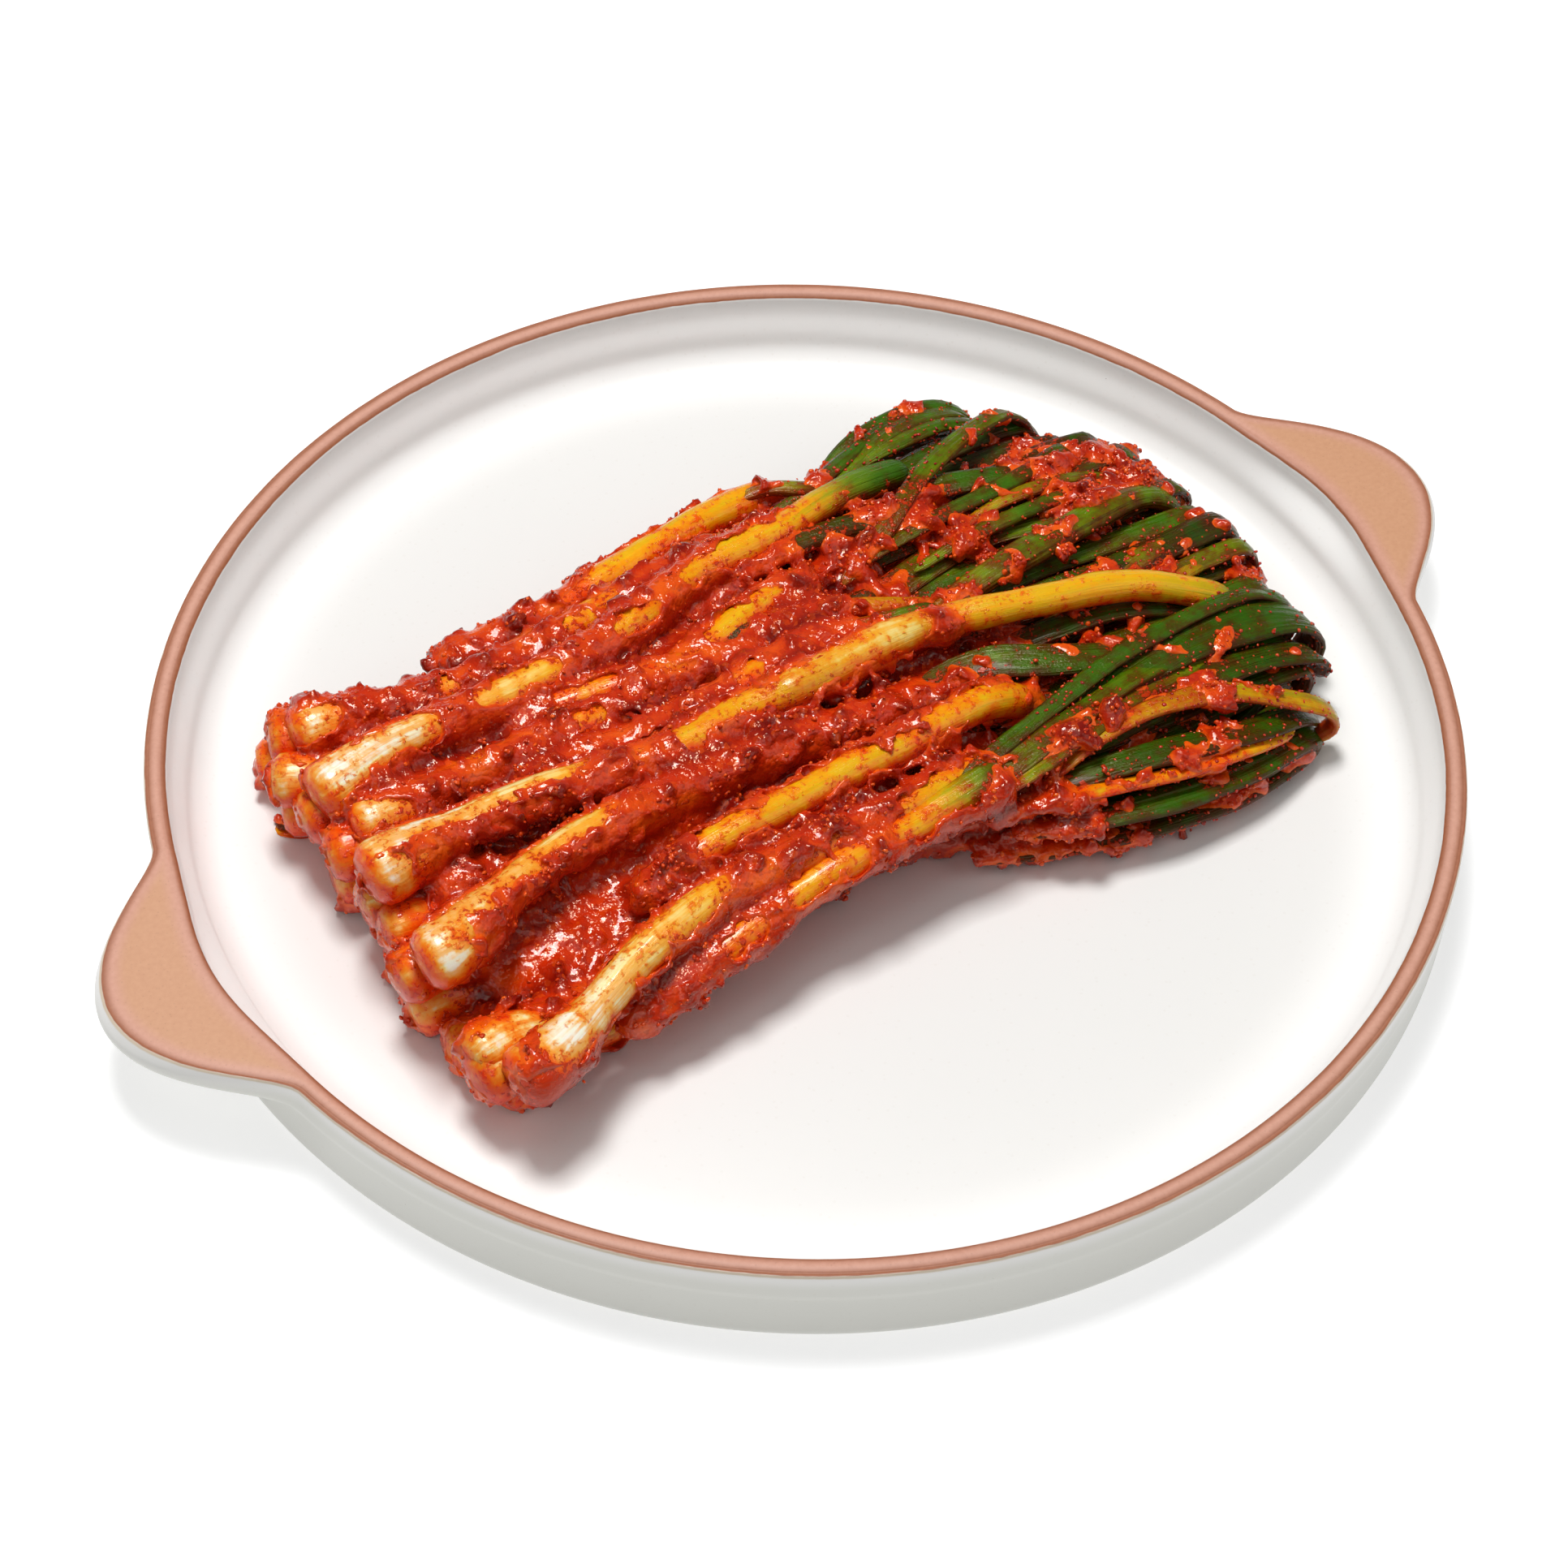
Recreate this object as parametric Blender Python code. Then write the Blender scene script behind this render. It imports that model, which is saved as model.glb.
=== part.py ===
"""Scallion kimchi on a round two-handled stoneware tray, in metres, +Z up.

The origin is on the table under the middle of the tray. +X runs through the two lug
handles, from the root ends of the scallions to their folded leaves, and the tray stands
flat on its base.
"""

import math

import bpy
import numpy as np

MM = 0.001

# ---- driving dimensions of the tray, in millimetres -------------------------------------
RIM_RADIUS = 140.0
RIM_HEIGHT = 22.6
FLOOR_HEIGHT = 6.5
BASE_ROUND = 3.0
CLAY_BAND = 5.0
WALL_FILLET = 8.0
LUG_REACH = 20.0
LUG_HALF_ANGLE = math.radians(14.5)
LUG_EXPONENT = 1.6
LUG_UNDERSIDE = 13.4
LUG_INNER_BULGE = 2.2
LUG_EDGE_SWELL = 1.6
SEGMENTS_PER_LUG = 20
SEGMENTS_BETWEEN_LUGS = 24

# ---- driving dimensions of the bundle, in millimetres -----------------------------------
GAP = 0.3
ROOT_X = -110.0
LEAF_X = 118.0
ROOT_WIDTH = 122.0
WAIST_WIDTH = 92.0
LEAF_WIDTH = 124.0
WAIST_FROM_X = -62.0
WAIST_TO_X = -10.0
SPREAD_X = 58.0
ROOT_RISE = 33.0
WAIST_RISE = 30.0
LEAF_RISE = 25.0
LEAF_END_RISE = 13.0
STALK_RADIUS = 4.2
BULB_RADIUS = 7.0
BULB_LENGTH = 24.0
TOP_STALKS = 9
CELLS_ALONG = 60
CELLS_ACROSS = 48


def smooth_step(start, end, x):
    """0 before start, 1 after end and an even S-shaped rise between them."""
    t = np.clip((x - start) / (end - start), 0.0, 1.0)
    return t * t * (3.0 - 2.0 * t)


# ---- tray --------------------------------------------------------------------------------


def lug_share(angle):
    """How far the rim is drawn out at this angle: 0 on the round rim, 1 at a lug's tip."""
    from_lug = abs(math.remainder(angle, math.pi)) / LUG_HALF_ANGLE
    return max(0.0, 1.0 - from_lug**2) ** LUG_EXPONENT


def arc(centre, radius, start_deg, end_deg, steps):
    """Points (radius, height) of a round corner."""
    turns = [math.radians(start_deg + (end_deg - start_deg) * i / steps) for i in range(steps + 1)]
    return [(centre[0] + radius * math.cos(a), centre[1] + radius * math.sin(a)) for a in turns]


def tray_section(angle):
    """The tray's closed outline at one angle, from the base's edge out, up and in to the floor.

    The rim's outer points move out with the lug, whose underside sweeps back to the wall.
    """
    share = lug_share(angle)
    reach = LUG_REACH * share
    inner = RIM_RADIUS - CLAY_BAND + LUG_INNER_BULGE * share**2
    floor_corner = (RIM_RADIUS - CLAY_BAND - 2.6 - WALL_FILLET, FLOOR_HEIGHT + WALL_FILLET)
    foot = arc((RIM_RADIUS - 0.3 - BASE_ROUND, BASE_ROUND), BASE_ROUND, -90, 0, 2)
    swell = LUG_EDGE_SWELL * share
    lug = [
        (RIM_RADIUS - 0.2, LUG_UNDERSIDE),
        (RIM_RADIUS - 0.1 + 0.30 * reach, LUG_UNDERSIDE + 1.3),
        (RIM_RADIUS + 0.78 * reach, LUG_UNDERSIDE + 2.2),
        (RIM_RADIUS + reach + 0.6 * swell, LUG_UNDERSIDE + 3.8),
        (RIM_RADIUS + reach + swell, RIM_HEIGHT - 3.0),
        (RIM_RADIUS + reach, RIM_HEIGHT - 0.6),
        (RIM_RADIUS + reach - 0.8, RIM_HEIGHT),
    ]
    lip = [(inner + 1.6, RIM_HEIGHT), (inner + 0.4, RIM_HEIGHT - 0.7), (inner, RIM_HEIGHT - 2.2)]
    well = [(floor_corner[0] + WALL_FILLET, floor_corner[1])]
    well += arc(floor_corner, WALL_FILLET, -20, -90, 3)
    return foot + lug + lip + well


def ring_angles():
    """Angles round the tray, closer together along the two lugs."""
    angles = []
    for middle in (0.0, math.pi):
        for i in range(SEGMENTS_PER_LUG):
            angles.append(middle - LUG_HALF_ANGLE + 2 * LUG_HALF_ANGLE * i / SEGMENTS_PER_LUG)
        plain = math.pi - 2 * LUG_HALF_ANGLE
        for i in range(SEGMENTS_BETWEEN_LUGS):
            angles.append(middle + LUG_HALF_ANGLE + plain * i / SEGMENTS_BETWEEN_LUGS)
    return angles


def build_tray():
    angles = ring_angles()
    sections = [tray_section(angle) for angle in angles]
    rows = len(sections[0])
    points = [
        (r * math.cos(a), r * math.sin(a), z)
        for a, section in zip(angles, sections)
        for r, z in section
    ]
    base_pole = len(points)
    floor_pole = base_pole + 1
    points += [(0.0, 0.0, 0.0), (0.0, 0.0, FLOOR_HEIGHT)]
    faces = []
    for i in range(len(angles)):
        here = i * rows
        there = (i + 1) % len(angles) * rows
        faces.append((base_pole, there, here))
        faces.append((floor_pole, here + rows - 1, there + rows - 1))
        for j in range(rows - 1):
            faces.append((here + j, there + j, there + j + 1, here + j + 1))
    return new_object("tray", points, faces, tray_material())


# ---- bundle ------------------------------------------------------------------------------


def middle_line(x):
    """Y of the bundle's middle: it swings a little to +Y from the roots to the leaves."""
    return 2.0 - 4.0 * smooth_step(-105.0, -75.0, x) + 12.0 * smooth_step(-72.0, 10.0, x)


def half_width(x):
    """Half of the bundle's width: drawn in at the waist and spread at both ends."""
    to_waist = smooth_step(ROOT_X, WAIST_FROM_X, x)
    to_leaf = smooth_step(WAIST_TO_X, SPREAD_X, x)
    width = ROOT_WIDTH + (WAIST_WIDTH - ROOT_WIDTH) * to_waist + (LEAF_WIDTH - WAIST_WIDTH) * to_leaf
    return width / 2


def rise(x):
    """Height of the bundle's crest over the tray's floor."""
    to_waist = smooth_step(ROOT_X, WAIST_FROM_X, x)
    to_leaf = smooth_step(WAIST_TO_X, SPREAD_X, x)
    to_end = smooth_step(84.0, LEAF_X, x)
    height = ROOT_RISE + (WAIST_RISE - ROOT_RISE) * to_waist + (LEAF_RISE - WAIST_RISE) * to_leaf
    return height + (LEAF_END_RISE - LEAF_RISE) * to_end


def stalk_place(index, x):
    """Where a stalk of the top layer runs, (share across the width -1..1, height share)."""
    share = -0.88 + 1.76 * index / (TOP_STALKS - 1)
    drift = 0.05 * math.sin(2.3 * index + 0.7) * np.sin(x / 34.0 + 1.9 * index)
    lift = 1.0 + 0.07 * math.sin(3.1 * index + 1.0) + 0.03 * np.sin(x / 21.0 + 1.3 * index)
    return share + drift, lift


def stalk_radius(index, x):
    """A stalk's radius: a bulb by the root end, then a slim stem that flattens to a leaf."""
    from_root = x - ROOT_X
    bulb = np.exp(-((from_root - 7.0) ** 2) / (BULB_LENGTH * 0.55) ** 2)
    leaf = smooth_step(30.0, 80.0, x)
    girth = 1.0 + 0.10 * math.sin(1.7 * index)
    return girth * (STALK_RADIUS + (BULB_RADIUS - STALK_RADIUS) * bulb - 1.0 * leaf)


def side_fall(share):
    """1 over the middle of the bundle, falling in a round shoulder to its edges."""
    return np.sqrt(np.clip(1.0 - np.abs(share) ** 3.2, 0.0, 1.0))


def bundle_height(x, share):
    """The bundle's skin over the floor: the paste between the stalks, or a stalk's round back."""
    skin = rise(x) * (0.30 + 0.70 * side_fall(share))
    y = share * half_width(x)
    height = skin - 3.4
    for index in range(TOP_STALKS):
        place, lift = stalk_place(index, x)
        radius = stalk_radius(index, x)
        crest = rise(x) * (0.30 + 0.70 * side_fall(place)) * lift
        across = np.clip(np.abs(y - place * half_width(x)) / radius, 0.0, 1.6)
        height = np.maximum(height, crest - radius * across**2)
    return np.maximum(height, 6.0)


def root_edge(share):
    """X of the root end: rounded bulb ends side by side, staggered a few millimetres."""
    lobe = np.abs(np.sin(math.pi * (share * 0.5 + 0.5) * TOP_STALKS))
    stagger = 1.8 * np.cos(5.5 * share + 0.4)
    corner = np.where(share > 0, 6.0 * np.abs(share) ** 5, 17.0 * np.abs(share) ** 3.5)
    return ROOT_X + 3.0 * (1.0 - np.sqrt(lobe)) + stagger + corner


def leaf_edge(share):
    """X of the leaf end: lobes where leaves fold under, drawn back to both corners."""
    lobes = 3.0 * np.abs(np.sin(4.6 * share + 0.9)) - 2.0
    draw = np.where(share > 0, 28.0 * np.abs(share) ** 1.6, 20.0 * np.abs(share) ** 3.2)
    return LEAF_X + lobes - draw


def build_bundle():
    along = np.linspace(0.0, 1.0, CELLS_ALONG + 1)
    # Closer together by the root end, where the bulbs are.
    along = along + 0.10 * np.sin(math.pi * along) * (along - 1.0)
    share = np.linspace(-1.0, 1.0, CELLS_ACROSS + 1)
    share = np.sin(share * math.pi / 2 * 0.72) / math.sin(math.pi / 2 * 0.72)
    s, a = np.meshgrid(share, along)
    x = root_edge(s) + (leaf_edge(s) - root_edge(s)) * a
    ripple = 1.4 * np.sin(x / 9.0) * np.sin(x / 23.0 + 1.0) * np.abs(s) ** 4
    y = middle_line(x) + s * (half_width(x) + ripple)
    ends = np.minimum(np.clip(a / 0.045, 0.0, 1.0), np.clip((1.0 - a) / 0.10, 0.0, 1.0))
    round_end = np.sqrt(1.0 - (1.0 - ends) ** 2)
    height = bundle_height(x, s)
    edge_height = np.minimum(height, 9.0)
    z = FLOOR_HEIGHT + edge_height + (height - edge_height) * round_end

    rows, columns = z.shape
    top = np.stack([x, y, z], axis=-1).reshape(-1, 3)
    number = np.arange(rows * columns).reshape(rows, columns)
    rim = np.concatenate([number[0, :-1], number[:-1, -1], number[-1, :0:-1], number[:0:-1, 0]])
    bottom = FLOOR_HEIGHT + GAP
    middle = np.array([0.0, middle_line(0.0)])
    skirts = []
    for tuck, level in ((0.0, 0.45), (2.2, 0.0)):
        ring = top[rim].copy()
        outward = ring[:, :2] - middle
        outward /= np.linalg.norm(outward, axis=1, keepdims=True)
        ring[:, :2] -= tuck * outward
        ring[:, 2] = bottom + level * (ring[:, 2] - bottom)
        skirts.append(ring)
    points = np.concatenate([top] + skirts)
    count = len(rim)
    rings = [rim, rows * columns + np.arange(count), rows * columns + count + np.arange(count)]
    faces = []
    for i in range(rows - 1):
        for j in range(columns - 1):
            faces.append((number[i, j], number[i + 1, j], number[i + 1, j + 1], number[i, j + 1]))
    for upper, lower in zip(rings, rings[1:]):
        for i in range(count):
            k = (i + 1) % count
            faces.append((upper[i], upper[k], lower[k], lower[i]))
    faces.append(tuple(rings[-1]))
    faces = [tuple(int(n) for n in face) for face in faces]
    return new_object("scallion_bundle", points.tolist(), faces, kimchi_material())


# ---- materials and objects ---------------------------------------------------------------


def plain_material(name, color, roughness):
    material = bpy.data.materials.new(name)
    material.use_nodes = True
    shader = material.node_tree.nodes["Principled BSDF"]
    shader.inputs["Base Color"].default_value = (*color, 1.0)
    shader.inputs["Roughness"].default_value = roughness
    shader.inputs["Metallic"].default_value = 0.0
    return material


def tray_material():
    """Warm off-white satin glaze over terracotta stoneware."""
    return plain_material("glazed_stoneware", (0.86, 0.85, 0.82), 0.35)


def kimchi_material():
    """Scallions coated in wet brick-red chilli paste."""
    return plain_material("chilli_coated_scallion", (0.42, 0.04, 0.015), 0.30)


def new_object(name, points, faces, material):
    """A smooth-shaded mesh object from points in millimetres."""
    mesh = bpy.data.meshes.new(name)
    mesh.from_pydata([(x * MM, y * MM, z * MM) for x, y, z in points], [], faces)
    mesh.materials.append(material)
    mesh.shade_smooth()
    mesh.set_sharp_from_angle(angle=math.radians(40))
    mesh.validate()
    piece = bpy.data.objects.new(name, mesh)
    bpy.context.scene.collection.objects.link(piece)
    return piece


for old in list(bpy.data.objects):
    bpy.data.objects.remove(old, do_unlink=True)
build_tray()
build_bundle()
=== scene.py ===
import math

import bpy
import numpy as np
from mathutils import Matrix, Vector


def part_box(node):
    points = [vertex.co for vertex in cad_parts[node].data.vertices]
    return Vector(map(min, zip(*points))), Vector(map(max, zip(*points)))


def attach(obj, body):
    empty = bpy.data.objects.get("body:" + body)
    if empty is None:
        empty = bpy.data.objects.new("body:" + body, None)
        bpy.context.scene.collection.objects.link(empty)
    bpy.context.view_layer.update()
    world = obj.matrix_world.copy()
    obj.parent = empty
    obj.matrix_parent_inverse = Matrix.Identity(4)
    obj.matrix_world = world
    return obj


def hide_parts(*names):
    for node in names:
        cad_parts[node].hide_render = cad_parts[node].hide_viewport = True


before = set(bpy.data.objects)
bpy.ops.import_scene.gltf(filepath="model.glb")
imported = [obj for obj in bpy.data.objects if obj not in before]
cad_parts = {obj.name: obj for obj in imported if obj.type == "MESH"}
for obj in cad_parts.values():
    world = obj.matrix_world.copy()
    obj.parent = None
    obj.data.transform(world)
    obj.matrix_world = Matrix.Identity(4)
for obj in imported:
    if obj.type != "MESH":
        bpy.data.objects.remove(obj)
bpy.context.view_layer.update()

import openvdb

# ---- Table, soft boxes and camera --------------------------------------------------------
# A white table top under the tray, lit from above and behind by soft boxes, and a long
# lens that looks down across the handles. All lengths from here on are in millimetres.

MM = 0.001
LENS_MM = 81.8
SENSOR_MM = 36.0
CAMERA_DISTANCE = 776.0
CAMERA_TURN = math.radians(31.64)
CAMERA_HEIGHT_ANGLE = math.radians(49.1)
CAMERA_ROLL = math.radians(1.78)
LOOK_AT = (-3.15, 3.47, 0.0)


def aimed_frame(turn, height_angle, roll=0.0):
    """Right, up and forward of a camera or lamp that stands at this turn and looks down.

    Forward is level at the turn and dips by the height angle; right is level, up is their
    cross product, and the roll turns right towards up.
    """
    level = np.array([math.sin(turn), math.cos(turn), 0.0])
    forward = level * math.cos(height_angle) - np.array([0.0, 0.0, math.sin(height_angle)])
    right = np.array([level[1], -level[0], 0.0])
    up = np.cross(right, forward)
    turned_right = math.cos(roll) * right + math.sin(roll) * up
    turned_up = math.cos(roll) * up - math.sin(roll) * right
    return turned_right, turned_up, forward


def stand(thing, name, turn, height_angle, distance, target=(0.0, 0.0, 0.0), roll=0.0):
    """An object at a distance from the target, looking at it along the aimed frame."""
    right, up, forward = aimed_frame(turn, height_angle, roll)
    holder = bpy.data.objects.new(name, thing)
    bpy.context.scene.collection.objects.link(holder)
    matrix = np.eye(4)
    matrix[:3, 0], matrix[:3, 1], matrix[:3, 2] = right, up, -forward
    matrix[:3, 3] = (np.array(target) - forward * distance) * MM
    holder.matrix_world = Matrix(matrix.tolist())
    return holder


lens = bpy.data.cameras.new("long_lens")
lens.lens = LENS_MM
lens.sensor_width = SENSOR_MM
bpy.context.scene.camera = stand(
    lens, "camera", CAMERA_TURN, CAMERA_HEIGHT_ANGLE, CAMERA_DISTANCE, LOOK_AT, CAMERA_ROLL
)


def soft_box(name, side, height_deg, distance, width, watts):
    """A square lamp: side is degrees round from the camera's own side, 180 is behind the tray."""
    lamp = bpy.data.lights.new(name, "AREA")
    lamp.shape = "SQUARE"
    lamp.size = width * MM
    lamp.energy = watts
    stand(lamp, name, CAMERA_TURN + math.radians(side), math.radians(height_deg), distance)


soft_box("key_box", 150.0, 76.0, 1500.0, 420.0, 18.5)
soft_box("top_box", 60.0, 86.0, 1700.0, 900.0, 2.8)
soft_box("front_box", 25.0, 48.0, 1800.0, 1000.0, 3.6)
soft_box("right_box", -75.0, 42.0, 1700.0, 1000.0, 2.4)

world = bpy.data.worlds.new("studio")
world.use_nodes = True
background = world.node_tree.nodes["Background"]
background.inputs["Color"].default_value = (1.0, 1.0, 1.0, 1.0)
background.inputs["Strength"].default_value = 0.12
bpy.context.scene.world = world
bpy.context.scene.view_settings.view_transform = "Standard"


class Value:
    """A shader socket that takes part in Python sums, each sum adding a Math node."""

    def __init__(self, finish, socket):
        self.finish = finish
        self.socket = socket

    def sum(self, operation, *terms):
        """One Math node, its terms in order."""
        return self.finish.node("ShaderNodeMath", {"operation": operation}, dict(enumerate(terms)))

    def __add__(self, other):
        return self.sum("ADD", self, other)

    def __sub__(self, other):
        return self.sum("SUBTRACT", self, other)

    def __rsub__(self, other):
        return self.sum("SUBTRACT", other, self)

    def __mul__(self, other):
        return self.sum("MULTIPLY", self, other)

    def __truediv__(self, other):
        return self.sum("DIVIDE", self, other)

    def __pow__(self, other):
        return self.sum("POWER", self, other)

    __radd__ = __add__
    __rmul__ = __mul__

    def least(self, other):
        return self.sum("MINIMUM", self, other)

    def most(self, other):
        return self.sum("MAXIMUM", self, other)

    def between(self, low, high):
        """0 below low, 1 above high and an even S-shaped rise between."""
        settings = {"interpolation_type": "SMOOTHSTEP"}
        return self.finish.node("ShaderNodeMapRange", settings, {0: self, 1: low, 2: high})


class Finish:
    """One material and the nodes that make it."""

    def __init__(self, name):
        self.material = bpy.data.materials.new(name)
        self.material.use_nodes = True
        self.tree = self.material.node_tree
        self.shader = self.tree.nodes["Principled BSDF"]

    def node(self, kind, settings=None, inputs=None, output=0):
        """Adds a node, makes its settings, fills its sockets, and returns one output."""
        made = self.tree.nodes.new(kind)
        for key, setting in (settings or {}).items():
            if key == "stops":
                self.set_stops(made.color_ramp, setting)
            else:
                setattr(made, key, setting)
        for key, value in (inputs or {}).items():
            self.fill(made.inputs[key], value)
        return Value(self, made.outputs[output])

    def fill(self, socket, value):
        """Links a Value to the socket, or sets a plain number, colour or vector on it."""
        if isinstance(value, Value):
            self.tree.links.new(value.socket, socket)
        elif isinstance(value, tuple) and socket.type == "RGBA":
            socket.default_value = (*value, 1.0)[:4]
        else:
            socket.default_value = value

    def set_stops(self, ramp, stops):
        """Gives a colour ramp its stops, each a place from 0 to 1 and a colour."""
        while len(ramp.elements) < len(stops):
            ramp.elements.new(1.0)
        for element, (place, color) in zip(ramp.elements, stops):
            element.position = place
            element.color = (*color, 1.0)

    def place(self):
        return self.node("ShaderNodeTexCoord", output="Object")

    def attribute(self, name, output="Fac"):
        return self.node("ShaderNodeAttribute", {"attribute_name": name}, output=output)

    def noise(self, vector, scale, detail=3.0):
        """Soft noise from 0 to 1; scale counts its lumps in a unit of the vector."""
        inputs = {"Vector": vector, "Scale": scale, "Detail": detail, "Roughness": 0.55}
        return self.node("ShaderNodeTexNoise", {}, inputs)

    def cells(self, vector, scale, output="Distance"):
        """Voronoi cells: the distance to the nearest cell's middle, or a colour for each cell."""
        return self.node("ShaderNodeTexVoronoi", {}, {"Vector": vector, "Scale": scale}, output)

    def stretch(self, vector, scale):
        return self.node("ShaderNodeMapping", {}, {"Vector": vector, "Scale": scale})

    def ramp(self, factor, stops):
        return self.node("ShaderNodeValToRGB", {"stops": stops}, {0: factor}, output="Color")

    def mix(self, factor, first, second, blend="MIX"):
        settings = {"data_type": "RGBA", "blend_type": blend}
        return self.node("ShaderNodeMix", settings, {0: factor, 6: first, 7: second}, output=2)

    def bump(self, height, distance, strength):
        inputs = {"Height": height, "Distance": distance, "Strength": strength}
        return self.node("ShaderNodeBump", {}, inputs)

    def surface(self, **sockets):
        """Fills the shader's own sockets, named with underscores for spaces."""
        for key, value in sockets.items():
            self.fill(self.shader.inputs[key.replace("_", " ")], value)
        return self.material


def table_finish():
    """Matt white table top, bright enough to fade into the studio's white."""
    finish = Finish("white_table")
    grain = finish.noise(finish.place(), 3.0)
    tint = finish.mix(grain, (0.54, 0.54, 0.54), (0.57, 0.57, 0.57))
    glow = {"Emission_Color": (1.0, 1.0, 1.0), "Emission_Strength": 0.58}
    return finish.surface(Base_Color=tint, Roughness=0.9, **glow)


TABLE_HALF = 8000.0
table_mesh = bpy.data.meshes.new("table")
table_corners = np.array([(-1, -1, 0), (1, -1, 0), (1, 1, 0), (-1, 1, 0)]) * TABLE_HALF * MM
table_mesh.from_pydata(table_corners.tolist(), [], [(0, 1, 2, 3)])
table_mesh.materials.append(table_finish())
table = bpy.data.objects.new("table", table_mesh)
bpy.context.scene.collection.objects.link(table)


# ---- Tray --------------------------------------------------------------------------------
# A round, shallow stoneware tray with two lug handles, thrown in terracotta and dipped in
# a warm off-white satin glaze; the top of the rim and of both lugs is left bare clay.

tray_high = np.array(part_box("tray")[1]) / MM
RIM_RADIUS = tray_high[1]
RIM_HEIGHT = tray_high[2]
FLOOR_HEIGHT = 6.5
CLAY_BAND = 5.0
WALL_FILLET = 8.0
LUG_EDGE_SWELL = 1.6
LUG_REACH = tray_high[0] - RIM_RADIUS - LUG_EDGE_SWELL
LUG_HALF_ANGLE = math.radians(14.5)
LUG_UNDERSIDE = 13.4
LUG_INNER_BULGE = 2.2
TRAY_AROUND = 600
TRAY_FINER = 5
TRAY_FLOOR_RINGS = 8


def lug_share(angle):
    """How far the rim is drawn out: (1 - (angle from the lug / half angle)^2)^1.6."""
    from_lug = np.abs(np.remainder(angle + math.pi / 2, math.pi) - math.pi / 2) / LUG_HALF_ANGLE
    return np.clip(1.0 - from_lug**2, 0.0, 1.0) ** 1.6


def curve_through(points, finer):
    """Catmull-Rom curve: each stretch is a cubic whose end slopes join its neighbours' points.

    points has its places along the first axis; finer is the number of steps a stretch.
    """
    ends = np.concatenate([2 * points[:1] - points[1:2], points, 2 * points[-1:] - points[-2:-1]])
    before, here, there, after = ends[:-3], ends[1:-2], ends[2:-1], ends[3:]
    shape = (1, finer) + (1,) * (points.ndim - 1)
    t = (np.arange(finer) / finer).reshape(shape)
    before, here, there, after = (p[:, None] for p in (before, here, there, after))
    cubic = 0.5 * (
        2 * here
        + (there - before) * t
        + (2 * before - 5 * here + 4 * there - after) * t**2
        + (3 * here - before - 3 * there + after) * t**3
    )
    return np.concatenate([cubic.reshape((-1,) + points.shape[1:]), points[-1:]])


def new_piece(name, points, quads, triangles, material, attributes=()):
    """A smooth mesh object from arrays: points in millimetres, four- and three-cornered faces."""
    mesh = bpy.data.meshes.new(name)
    corners = np.concatenate([np.ravel(quads), np.ravel(triangles)]).astype(np.int32)
    sizes = np.concatenate([np.full(len(quads), 4), np.full(len(triangles), 3)])
    mesh.vertices.add(len(points))
    mesh.vertices.foreach_set("co", np.ravel(points * MM).astype(np.float32))
    mesh.loops.add(len(corners))
    mesh.loops.foreach_set("vertex_index", corners)
    mesh.polygons.add(len(sizes))
    mesh.polygons.foreach_set("loop_start", (np.cumsum(sizes) - sizes).astype(np.int32))
    mesh.update(calc_edges=True)
    mesh.shade_smooth()
    for key, kind, values in attributes:
        layer = mesh.attributes.new(key, kind, "POINT")
        field = "vector" if kind == "FLOAT_VECTOR" else "value"
        layer.data.foreach_set(field, np.ravel(values).astype(np.float32))
    mesh.materials.append(material)
    piece = bpy.data.objects.new(name, mesh)
    bpy.context.scene.collection.objects.link(piece)
    return piece


def ring_faces(rings, around, first=0):
    """Quads between successive closed rings of points, numbered ring by ring."""
    number = first + np.arange(rings * around).reshape(rings, around)
    after = np.roll(number, -1, axis=1)
    return np.stack([number[:-1], after[:-1], after[1:], number[1:]], axis=-1).reshape(-1, 4)


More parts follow.
